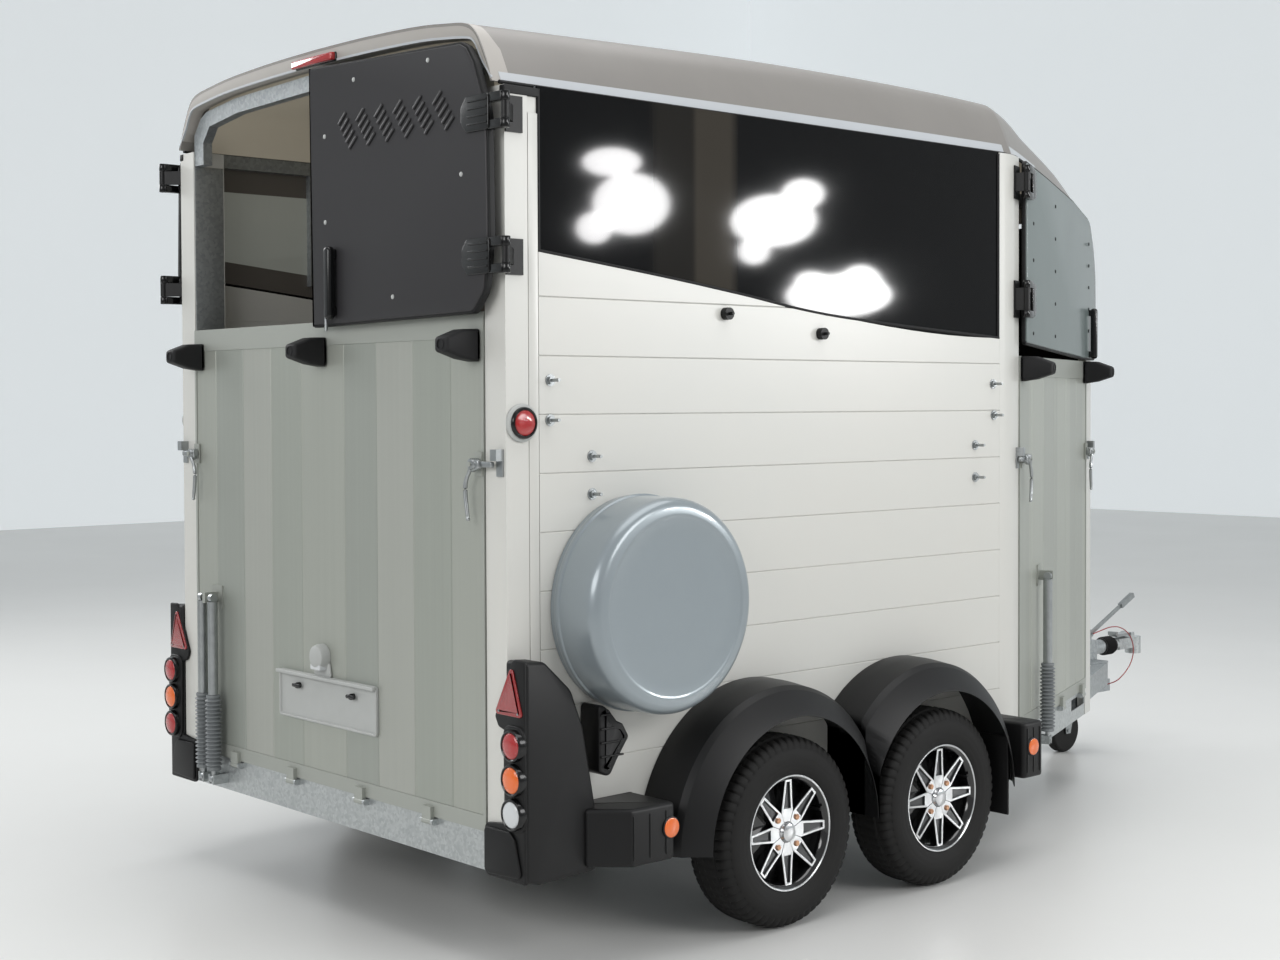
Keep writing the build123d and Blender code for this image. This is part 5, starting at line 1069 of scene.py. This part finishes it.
class TRAILER_OT_rear_doors(bpy.types.Operator):
    """Pressed panel with an edge seal, slanted louvre slots as raised hoods, screws, strap
    hinges with ribbed knuckles and a long grip; the left door is the mirror image, turned
    back against the wall about its hinge line"""

    bl_idname = "trailer.rear_doors"
    bl_label = "Rear top doors"
    bl_options = {"REGISTER", "UNDO"}

    def door(self, name, body, node, place):
        """One rear door in its face's own (across, up, out); across runs from the doorway's
        middle to its hinge."""
        low, high = 1.848, 2.656           # foot and top at the meeting edge
        edge = HALF - 0.0035               # hinge edge
        face = 0.053                       # how far the panel's face stands out
        panel, dark, black = (FINISH[key] for key in
                              ("charcoal powder coat", "seal rubber", "gloss black plastic"))
        outline = rounded(((0.005, high), (0.016, low), (edge - 0.075, low + 0.012),
                           (edge - 0.020, 1.921), (edge, 2.072), (edge - 0.006, 2.414),
                           (edge - 0.062, 2.554), (edge - 0.098, 2.604), (edge - 0.131, 2.620)),
                          (0.004, 0.006, 0.03, 0.06, 0.15, 0.15, 0.12, 0.03, 0.03), 7)
        door = Build()
        door.slab(place, outline, 0.0275, face - 0.004, dark, edge=0.004)
        door.slab(place, inset(outline, 0.007), 0.040, face, panel, edge=0.004)
        # Louvre clusters: five hoods each, rising away from the meeting edge.
        for cluster in range(6):
            for slot in range(5):
                x = 0.172 + cluster * 0.0985 + slot * 0.0145
                base = 2.462 - slot * 0.0195
                hood = rounded(((x, base), (x + 0.0085, base - 0.006),
                                (x + 0.0505, base + 0.028), (x + 0.042, base + 0.034)),
                               0.003, 3)
                door.slab(place, hood, face - 0.001, face + 0.0050, panel, edge=0.0035)
                # The dark slit below each hood is painted shade in the slot's opening.
                slit = rounded(((x + 0.006, base - 0.007), (x + 0.0095, base - 0.0095),
                                (x + 0.0505, base + 0.0235), (x + 0.047, base + 0.026)),
                               0.0012, 3)
                door.slab(place, slit, face - 0.001, face + 0.0004, dark, edge=0.0003)
        for x, z in ((0.26, 2.586), (0.644, 2.589), (0.096, 2.433), (0.459, 1.924),
                     (0.096, 2.170), (0.800, 2.250)):
            door.lathe(((0, face - 0.001), (0.0075, face - 0.001), (0.0065, face + 0.002),
                        (0.003, face + 0.0032), (0, face + 0.0034)), *out_of(place, x, z),
                       FINISH["pale tray plastic"], steps=16)
        for base in (1.966, 2.360):
            strap = rounded(((edge - 0.119, base + 0.028), (edge - 0.095, base),
                             (edge + 0.008, base), (edge + 0.008, base + 0.100),
                             (edge - 0.095, base + 0.100), (edge - 0.119, base + 0.072)),
                            0.012, 5)
            door.slab(place, strap, face - 0.001, face + 0.007, black, edge=0.003)
            for rib in np.linspace(0.018, 0.082, 4):
                line = oblong(edge - 0.085, edge + 0.002, base + rib, base + rib + 0.006, 0.002,
                              3)
                door.slab(place, line, face + 0.005, face + 0.0105, black, edge=0.002)
            for level in (base, base + 0.074):
                leaf = oblong(edge - 0.004, HALF + PIN_ASIDE, level, level + KNUCKLE, 0.003, 3)
                knuckle(door, place, leaf, (0.033, 0.056), (HALF + PIN_ASIDE, level, PIN_OUT))
        # Grip: rounded bar on two feet, with a bright lock rod beside it.
        grip(door, place, face, oblong(0.128, 0.162, 1.868, 2.092, 0.015, 6),
             [oblong(0.130, 0.158, foot, foot + 0.028, 0.006, 4) for foot in (1.880, 2.056)])
        rod = place(np.array(((0.112, 1.836, face + 0.010), (0.112, 1.93, face + 0.010),
                              (0.112, 2.04, face + 0.010), (0.112, 2.086, face + 0.010))))
        door.tube(rod, 0.0055, FINISH["zinc plate"], steps=14)
        for foot in (1.905, 2.065):
            clip = oblong(0.102, 0.122, foot, foot + 0.014, 0.003, 4)
            door.slab(place, clip, face - 0.001, face + 0.013, black, edge=0.002)
        door.make(name, body, "charcoal_panel", node)

    def execute(self, context):
        self.door("rear_door_right_louvred", "rear_top_door_right", "rear_door_right",
                  REAR_FACE)
        pivot = (-(HALF + PIN_ASIDE), REAR - PIN_OUT)
        self.door("rear_door_left_louvred", "rear_top_door_left", "rear_door_left",
                  fold(mirrored(REAR_FACE), pivot, -270))
        return {"FINISHED"}


class TRAILER_OT_front_door(bpy.types.Operator):
    """Front top door: panel with a seal edge, a pressed line round it, strap hinges and a
    grip"""

    bl_idname = "trailer.front_door"
    bl_label = "Front top door"
    bl_options = {"REGISTER", "UNDO"}

    def execute(self, context):
        outline = rounded(((0.112, 1.817), (1.070, 1.780), (1.306, 1.780), (1.293, 2.137),
                           (1.259, 2.243), (1.182, 2.362), (0.876, 2.416), (0.445, 2.460),
                           (0.112, 2.488)),
                          (0.02, 0.1, 0.03, 0.1, 0.1, 0.08, 0.2, 0.3, 0.02), 6)
        door, face = Build(), 0.026
        panel, dark, black = (FINISH[key] for key in
                              ("grey powder coat", "seal rubber", "gloss black plastic"))
        door.slab(TURNED_FACE, outline, 0.006, face - 0.005, dark, edge=0.003)
        door.slab(TURNED_FACE, inset(outline, 0.008), 0.014, face, panel, edge=0.004)
        for base, top in ((1.912, 2.046), (2.340, 2.460)):
            strap = rounded(((0.114, base), (0.165, base + 0.01), (0.165, top - 0.01),
                             (0.114, top)), 0.01, 5)
            door.slab(TURNED_FACE, strap, face - 0.001, 0.050, black, edge=0.005)
            for level in (base, top - KNUCKLE):
                leaf = oblong(0.040, 0.118, level, level + KNUCKLE, 0.003, 3)
                knuckle(door, TURNED_FACE, leaf, (0.038, 0.052), (0.040, level, 0.045))
        grip(door, TURNED_FACE, face, oblong(1.150, 1.180, 1.785, 1.994, 0.013, 6),
             [oblong(1.152, 1.178, foot, foot + 0.026, 0.006, 4) for foot in (1.790, 1.962)])
        for across, lows, high in ((0.215, 1.86, 2.40), (0.560, 1.86, 2.36),
                                   (1.150, 1.90, 2.26)):
            for level in np.linspace(lows, high, 5):
                door.lathe(((0.0, 0.0), (0.0075, 0.0), (0.0065, 0.0028), (0.0, 0.0040)),
                           *out_of(TURNED_FACE, across, level, face - 0.001), dark, steps=16)
        door.make("front_door_pressed", "front_top_door", "grey_panel", "front_door")
        return {"FINISHED"}


# ---- Glazing and trims ---------------------------------------------------------------

# Window's lower edge: (distance from the rear, height).
SWOOP = np.array(((0.118, 2.038), (0.584, 1.987), (0.906, 1.947), (1.371, 1.888),
                  (2.2285, 1.836)))


class TRAILER_OT_glazing(bpy.types.Operator):
    """Seal strips along the windows' curved lower edge and their ends, and the recessed
    channels of the rear posts"""

    bl_idname = "trailer.glazing"
    bl_label = "Window seals and post channels"
    bl_options = {"REGISTER", "UNDO"}

    def execute(self, context):
        seal = Build()
        edge = through(SWOOP, 60)
        for face in (SIDE_FACE, mirrored(SIDE_FACE)):
            seal.tube(face(np.column_stack((edge, np.full(len(edge), -0.004)))), 0.0055,
                      FINISH["seal rubber"], steps=10)
            for at, low in ((SWOOP[0, 0] + 0.004, SWOOP[0, 1]), (SWOOP[-1, 0] - 0.004,
                                                                 SWOOP[-1, 1])):
                post = np.column_stack((np.full(12, at), np.linspace(low, EAVES - 0.01, 12),
                                        np.full(12, -0.004)))
                seal.tube(face(post), 0.0055, FINISH["seal rubber"], steps=10)
        seal.make("window_seals", "root", "rubber")
        # Inside, painted glow: the tint lets daylight through between two dark bands.
        lit = Build()
        low_edge = through(SWOOP[:, :2] + (0.0, 0.085), 30)
        low_edge[:, 0] = np.linspace(SWOOP[0, 0] + 0.03, SWOOP[-1, 0] - 0.03, 30)
        pane = np.vstack((low_edge, ((SWOOP[-1, 0] - 0.03, 2.37), (SWOOP[0, 0] + 0.03, 2.37))))
        both(lit, SIDE_FACE, pane, -0.0125, -0.0108, FINISH["lit glazing"], edge=0.0004)
        whole = np.vstack((SWOOP[:, :2] + (0.0, 0.012), ((SWOOP[-1, 0] - 0.01, EAVES - 0.03),
                                                          (SWOOP[0, 0], EAVES - 0.03))))
        both(lit, SIDE_FACE, whole, -0.0106, -0.0095, FINISH["smoked glazing"], edge=0.0004)
        lit.make("windows_inside", "root", "tint")
        channel = Build()
        strip = oblong(0.082, 0.116, 0.300, 2.420, 0.002, 3)
        both(channel, SIDE_FACE, strip, -0.004, 0.0008, FINISH["cream powder coat"],
             edge=0.0006)
        cap = oblong(-0.002, 0.120, 2.466, 2.490, 0.004, 3)
        both(channel, SIDE_FACE, cap, -0.02, 0.0025, FINISH["seal rubber"], edge=0.002)
        jamb = plane((HALF - 0.0935, REAR, 0), (0, 1, 0), (0, 0, 1))
        lining = oblong(0.004, 0.114, 0.420, 2.440, 0.003, 3)
        both(channel, jamb, lining, -0.0016, 0.0004, FINISH["galvanised steel"], edge=0.0006)
        channel.make("post_channels", "root", "anodised")
        return {"FINISHED"}


# ---- Ramp fittings -------------------------------------------------------------------

class TRAILER_OT_ramp_fittings(bpy.types.Operator):
    """Buffers, latches and the number-plate tray on the ramps"""

    bl_idname = "trailer.ramp_fittings"
    bl_label = "Ramp fittings"
    bl_options = {"REGISTER", "UNDO"}

    def buffers(self, name, body, node, face, places, low, half):
        """Tapered block: its side outline carried across, with a hollow boss in its nose."""
        rubber = FINISH["buffer rubber"]
        block = Build()
        side = rounded(((0.0, 0.0), (0.055, 0.008), (0.117, 0.028), (0.117, 0.068),
                        (0.055, 0.091), (0.0, 0.093)), (0.004, 0.02, 0.012, 0.012, 0.02, 0.004),
                       5)
        for at in places:
            origin, out = out_of(face, at, low, 0.005)
            place = plane(origin, out, (0, 0, 1))
            block.slab(place, side, -half, half, rubber, edge=0.010)
            nose = origin + 0.117 * out + np.array((0, 0, 0.048))
            block.lathe(((0.0, -0.01), (0.017, -0.01), (0.017, 0.001), (0.0155, 0.0025),
                         (0.013, 0.0025), (0.012, 0.0), (0.012, -0.006), (0.0, -0.006)),
                        nose, out, rubber, steps=28, rows={5: FINISH["seal rubber"],
                                                           6: FINISH["seal rubber"]})
            for height in (0.014, 0.079):
                screw = origin + 0.030 * out + np.array((0, 0, height))
                block.lathe(((0.0, -0.004), (0.006, -0.004), (0.006, 0.002), (0.0, 0.003)),
                            screw, (0, 0, 1 if height > 0.05 else -1), FINISH["zinc plate"],
                            steps=6)
        block.make(name, body, "rubber", node, crease=40)

    def latch(self, name, body, node, face, pivot, level, toward):
        """Cast lever: domed hub, tapered arm and a hanging handle with a rounded end."""
        zinc = FINISH["zinc plate"]
        lever = Build()
        origin, out = out_of(face, pivot, level)
        lever.lathe(((0.0072, 0.0125), (0.0155, 0.0125), (0.017, 0.014), (0.017, 0.036),
                     (0.014, 0.041), (0.0072, 0.042), (0.0072, 0.0125)), origin, out, zinc,
                    steps=32)
        ends = sorted((pivot + toward * 0.012, pivot + toward * 0.078))
        arm = oblong(ends[0], ends[1], level - 0.009, level + 0.008, 0.005, 5)
        lever.slab(face, arm, 0.0125, 0.0255, zinc, edge=0.003)
        boss = rounded(((pivot - toward * 0.016, level + 0.016),
                        (pivot + toward * 0.030, level + 0.013),
                        (pivot + toward * 0.030, level - 0.012),
                        (pivot - toward * 0.006, level - 0.024),
                        (pivot - toward * 0.020, level - 0.010))[::toward], 0.009, 5)
        lever.slab(face, boss, 0.018, 0.034, zinc, edge=0.005)
        line = through(((0.0, 0.0), (-0.010, -0.020), (-0.024, -0.042), (-0.030, -0.064),
                        (-0.028, -0.100), (-0.021, -0.140), (-0.017, -0.160)), 26)
        thick = np.interp(np.linspace(0, 1, 26), (0, 0.25, 0.45, 0.8, 0.93, 0.97, 1.0),
                          (0.0075, 0.0055, 0.0068, 0.0060, 0.0050, 0.0072, 0.0040))
        lever.tube(face(np.column_stack((pivot + toward * line[:, 0], level + line[:, 1],
                                         np.full(26, 0.034)))), thick, zinc, steps=14)
        lever.make(name, body, "zinc", node)

    def plate_tray(self):
        """Shallow tray with a rolled rim, two wing clips and a cowl over its lamp."""
        pale, black = FINISH["pale tray plastic"], FINISH["gloss black plastic"]
        tray = Build()
        outline = oblong(-0.270, 0.295, 0.597, 0.750, 0.012, 5)
        rings = ((0.0, 0.004), (0.0, 0.012), (0.002, 0.014), (0.006, 0.014), (0.008, 0.012),
                 (0.009, 0.008))
        tray.grid(REAR_FACE(np.stack([np.column_stack((inset(outline, m),
                                                       np.full(len(outline), d)))
                                      for m, d in rings])), pale)
        hood = oblong(-0.270, 0.295, 0.738, 0.750, 0.004, 4)
        tray.slab(REAR_FACE, hood, 0.012, 0.027, pale, edge=0.003)
        stalk = rounded(((-0.060, 0.748), (0.040, 0.748), (0.030, 0.795), (-0.052, 0.795)),
                        0.008, 4)
        tray.slab(REAR_FACE, stalk, 0.004, 0.012, pale, edge=0.003)
        cowl = REAR_FACE(np.array((-0.012, 0.812, 0.004)))
        tray.lathe(((0, 0), (0.040, 0), (0.040, 0.020), (0.036, 0.031), (0.028, 0.036),
                    (0.0, 0.038)), cowl, (0, -1, 0), pale, steps=40)
        glass = oblong(-0.040, 0.016, 0.772, 0.790, 0.004, 4)
        tray.slab(REAR_FACE, glass, 0.010, 0.038, FINISH["clear lens"], edge=0.003)
        for at in (-0.150, 0.165):
            spot = REAR_FACE(np.array((at, 0.706, 0.008)))
            tray.lathe(((0, 0), (0.010, 0), (0.010, 0.012), (0.008, 0.016), (0, 0.017)), spot,
                       (0, -1, 0), black, steps=24)
            wing = oblong(at - 0.024, at + 0.024, 0.700, 0.712, 0.0055, 5)
            tray.slab(REAR_FACE, wing, 0.016, 0.025, black, edge=0.003)
        tray.make("number_plate_tray", "rear_ramp", "tray_grey", "number_plate_holder")

    def execute(self, context):
        for end, face, places in (("rear", REAR_FACE, (-0.792, -0.008, 0.790)),
                                  ("front", TURNED_FACE, (0.138, 1.172))):
            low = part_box(f"{end}_ramp_buffers")[0].z
            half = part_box("rear_ramp_buffers")[1].x - 0.790
            self.buffers(f"{end}_ramp_rubbers", f"{end}_ramp", f"{end}_ramp_buffers", face,
                         places, low, half)
        self.latch("rear_latch_right_cast", "rear_latch_r", "rear_latch_right", REAR_FACE,
                   0.814, 1.440, 1)
        self.latch("rear_latch_left_cast", "rear_latch_l", "rear_latch_left", REAR_FACE,
                   -0.814, 1.440, -1)
        self.latch("front_latch_rearward_cast", "front_latch_a", "front_latch_rearward",
                   TURNED_FACE, 0.127, 1.400, -1)
        self.latch("front_latch_forward_cast", "front_latch_b", "front_latch_forward",
                   TURNED_FACE, 1.188, 1.400, 1)
        self.plate_tray()
        return {"FINISHED"}


class TRAILER_OT_bellows(bpy.types.Operator):
    """Corrugated sleeves: the radius is a cosine of the distance along"""

    bl_idname = "trailer.bellows"
    bl_label = "Boots and bellows"
    bl_options = {"REGISTER", "UNDO"}

    def sleeve(self, build, start, axis, length, mean, wave, pitch, rubber):
        """Outer radius mean + wave * cos(2 pi * distance / pitch), with plain cuffs."""
        cuff = pitch * 0.9
        count = max(3, round((length - 2 * cuff) / pitch))
        along = np.linspace(cuff, length - cuff, count * 8 + 1)
        turn = (along - cuff) / (length - 2 * cuff) * count * 2 * math.pi
        outer = np.column_stack((mean - wave * np.cos(turn), along))
        ends = ((mean - wave * 2.2, 0.0), (mean - 0.2 * wave, 0.0), (mean, 0.0015),
                (mean, cuff * 0.7))
        close = ((mean, length - cuff * 0.7), (mean, length - 0.0015),
                 (mean - 0.2 * wave, length), (mean - wave * 2.2, length),
                 (mean - wave * 2.2, 0.0))
        build.lathe(np.vstack((ends, outer, close)), start, axis, rubber, steps=40)

    def execute(self, context):
        rubber = FINISH["grey boot rubber"]
        for end in ("rear", "front"):
            low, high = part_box(f"{end}_strut_boots")
            radius = 0.028
            middle = (low + high) / 2
            places = ([(low.x + radius, middle.y), (high.x - radius, middle.y)]
                      if end == "rear" else [(middle.x, middle.y)])
            boots = Build()
            for x, y in places:
                self.sleeve(boots, (x, y, low.z), (0, 0, 1), high.z - low.z, 0.0245, 0.0042,
                            0.0135, rubber)
            made = boots.make(f"{end}_corrugated_boots", f"{end}_strut_lower", "boot",
                              f"{end}_strut_boots", crease=60)
            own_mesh(made)
        low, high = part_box("coupling_bellows")
        middle = (low + high) / 2
        snout_end = low.y + 0.0045
        length = high.y - snout_end
        bellows = Build()
        self.sleeve(bellows, (middle.x, snout_end, middle.z), (0, 1, 0), length, 0.038,
                    0.0055, 0.0125, FINISH["seal rubber"])
        made = bellows.make("coupling_corrugated_bellows", "drawtube", "rubber",
                            "coupling_bellows", crease=60)
        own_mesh(made)
        return {"FINISHED"}


# ---- Stage ---------------------------------------------------------------------------

# Camera: place, heading to the left of +Y, pitch and roll in radians.
CAMERA_PLACE = np.array((4.9133, -5.3060, 1.6091))
CAMERA_HEADING, CAMERA_PITCH, CAMERA_ROLL = 0.8501, -0.025, -0.0043
CAMERA_SHIFT = (0.0179, -0.0245)


# Soft boxes: name, place, the point that they face, size and watts.
SOFT_BOXES = (
    ("roof_light", (0.5, -0.5, 7.5), (0, 0, 0), (8, 8), 400),
    ("side_light", (8.5, 0.5, 4.5), (0, 0, 1.2), (6, 3), 300),
    ("rear_light", (1.5, -9.0, 4.0), (0, -1, 1.2), (6, 3), 235),
    ("left_light", (-7.0, -3.0, 4.5), (0, 0, 1.2), (4, 3), 150),
)
# Small lamps that only show as glints in the side windows: (y, z, width, height) of each, in
# the plane x = GLINT_X, all turned to the window's middle.
GLINT_X = 7.6
WINDOW_MIDDLE = (HALF, -0.9, 2.1)
GLINTS = (
    (4.02, 3.48, 0.46, 0.22), (4.22, 3.17, 0.60, 0.48), (3.84, 2.96, 0.28, 0.24),
    (5.83, 3.14, 0.72, 0.44), (6.19, 3.39, 0.36, 0.26), (5.59, 2.87, 0.26, 0.22),
    (6.64, 2.54, 0.92, 0.38), (6.93, 2.64, 0.38, 0.36), (6.28, 2.66, 0.26, 0.15),
)
GLINT_WATTS = 150          # for each square metre of lamp


class TRAILER_OT_stage(bpy.types.Operator):
    """Pale floor and walls, soft studio lights and the camera"""

    bl_idname = "trailer.stage"
    bl_label = "Stage, lights and camera"
    bl_options = {"REGISTER", "UNDO"}

    def flat(self, name, corners_, finish_):
        """A large quad that isn't part of the trailer."""
        mesh = bpy.data.meshes.new(name)
        mesh.from_pydata(corners_, [], [(0, 1, 2, 3)])
        mesh.materials.append(finish_)
        obj = bpy.data.objects.new(name, mesh)
        bpy.context.scene.collection.objects.link(obj)
        obj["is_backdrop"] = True

    def lamp(self, name, place, aim, size, power, seen=True):
        """Soft box: an area light turned towards a point; one that lights no matt surface
        only shows as a reflection in a glossy one."""
        data = bpy.data.lights.new(name, "AREA")
        data.shape, data.size, data.size_y, data.energy = "ELLIPSE", *size, power
        obj = bpy.data.objects.new(name, data)
        bpy.context.scene.collection.objects.link(obj)
        from_to = np.array(aim, float) - np.array(place, float)
        obj.location = place
        obj.visible_diffuse = seen
        obj.rotation_mode = "QUATERNION"
        obj.rotation_quaternion = Vector(from_to).to_track_quat("-Z", "Y")

    def execute(self, context):
        sizes = context.scene.trailer
        floor = finish("studio floor", "#dcdcda", "#d3d3d1", patch=2500, rough=0.34,
                       vary=0.05)
        wall = finish("studio wall", "#e6eaec", "#e0e4e6", patch=4000, rough=0.8,
                      Emission_Strength=0.35, Emission_Color=linear("#e6eaec"))
        self.flat("floor", ((-40, -40, 0), (40, -40, 0), (40, 40, 0), (-40, 40, 0)), floor)
        self.flat("back_wall", ((-40, 18, 0), (40, 18, 0), (40, 18, 22), (-40, 18, 22)), wall)
        self.flat("side_wall_far", ((-18, -40, 0), (-18, 40, 0), (-18, 40, 22), (-18, -40, 22)),
                  wall)
        power = sizes.light
        bpy.context.scene.view_settings.view_transform = "Standard"
        for number, (y, z, wide, tall) in enumerate(GLINTS):
            self.lamp(f"window_light_{number}", (GLINT_X, y, z), WINDOW_MIDDLE, (wide, tall),
                      GLINT_WATTS * wide * tall * power, seen=False)
        for name, place, aim, size, watts in SOFT_BOXES:
            self.lamp(name, place, aim, size, watts * power)
        world = bpy.data.worlds.new("studio")
        bpy.context.scene.world = world
        world.use_nodes = True
        sky = world.node_tree.nodes["Background"]
        sky.inputs["Color"].default_value = linear("#eceeef")
        sky.inputs["Strength"].default_value = 0.46
        data = bpy.data.cameras.new("camera")
        data.lens, data.sensor_width = sizes.lens, 36
        data.shift_x, data.shift_y = CAMERA_SHIFT
        data.clip_end = 200
        data.dof.use_dof = False
        camera = bpy.data.objects.new("camera", data)
        bpy.context.scene.collection.objects.link(camera)
        heading, pitch, roll = CAMERA_HEADING, CAMERA_PITCH, CAMERA_ROLL
        ahead = np.array((-math.sin(heading) * math.cos(pitch),
                          math.cos(heading) * math.cos(pitch), math.sin(pitch)))
        right = np.array((math.cos(heading), math.sin(heading), 0))
        up = np.cross(right, ahead)
        right, up = (math.cos(roll) * right + math.sin(roll) * up,
                     -math.sin(roll) * right + math.cos(roll) * up)
        turn = Matrix((right, up, -ahead)).transposed()
        camera.matrix_world = Matrix.Translation(CAMERA_PLACE) @ turn.to_4x4()
        bpy.context.scene.camera = camera
        return {"FINISHED"}


# ---- Panel and properties ------------------------------------------------------------

class TrailerSettings(bpy.types.PropertyGroup):
    """Sizes and colours that someone reusing the trailer would change."""

    wall: FloatVectorProperty(name="Wall colour", subtype="COLOR", size=4, min=0, max=1,
                              description="Powder coat of the side planks and posts",
                              default=linear("#d0cec8"))
    roof: FloatVectorProperty(name="Roof colour", subtype="COLOR", size=4, min=0, max=1,
                              description="Gelcoat of the roof", default=linear("#8b8884"))
    guard: FloatVectorProperty(name="Mudguard colour", subtype="COLOR", size=4, min=0, max=1,
                               description="Moulded mudguards and corner mouldings",
                               default=linear("#111112"))
    door: FloatVectorProperty(name="Door colour", subtype="COLOR", size=4, min=0, max=1,
                              description="Powder coat of the rear top doors",
                              default=linear("#2c2b2d"))
    cover: FloatVectorProperty(name="Cover colour", subtype="COLOR", size=4, min=0, max=1,
                               description="Paint of the spare wheel cover",
                               default=linear("#8f989d"))
    lens: FloatProperty(name="Camera focal length", min=20, max=200,
                        description="Focal length of the camera, in millimetres",
                        default=51.16)
    light: FloatProperty(name="Studio light", min=0, max=5,
                         description="Strength of the soft studio lights", default=1.0)
    spokes: IntProperty(name="Spokes", min=5, max=12, default=8,
                        description="Spokes of each alloy wheel")


class TRAILER_PT_pieces(bpy.types.Panel):
    """Lists the operators that build the trailer's pieces."""

    bl_idname = "TRAILER_PT_pieces"
    bl_label = "Livestock Trailer"
    bl_space_type = "VIEW_3D"
    bl_region_type = "UI"
    bl_category = "Trailer"

    def draw(self, context):
        settings = context.scene.trailer
        for name in settings.bl_rna.properties.keys():
            if name not in ("rna_type", "name"):
                self.layout.prop(settings, name)
        for step in STEPS:
            self.layout.operator(step.bl_idname)


STEPS = (
    TRAILER_OT_finishes, TRAILER_OT_roof, TRAILER_OT_wheels, TRAILER_OT_mudguards,
    TRAILER_OT_mouldings, TRAILER_OT_lamps, TRAILER_OT_spare_cover, TRAILER_OT_rear_doors,
    TRAILER_OT_front_door, TRAILER_OT_glazing, TRAILER_OT_ramp_fittings, TRAILER_OT_bellows,
    TRAILER_OT_stage,
)


def register():
    for part in (TrailerSettings, TRAILER_PT_pieces, *STEPS):
        bpy.utils.register_class(part)
    bpy.types.Scene.trailer = PointerProperty(type=TrailerSettings)


def unregister():
    del bpy.types.Scene.trailer
    for part in reversed((TrailerSettings, TRAILER_PT_pieces, *STEPS)):
        bpy.utils.unregister_class(part)


def corners(box):
    """A box as two plain lists of numbers."""
    return [list(box[0]), list(box[1])]


def main():
    """Registers the add-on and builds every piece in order."""
    register()
    for step in STEPS:
        group, name = step.bl_idname.split(".")
        getattr(getattr(bpy.ops, group), name)()
    {"cad": corners((CAD_LOW, CAD_HIGH)), "visual": corners(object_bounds())}


if __name__ == "__main__":
    main()
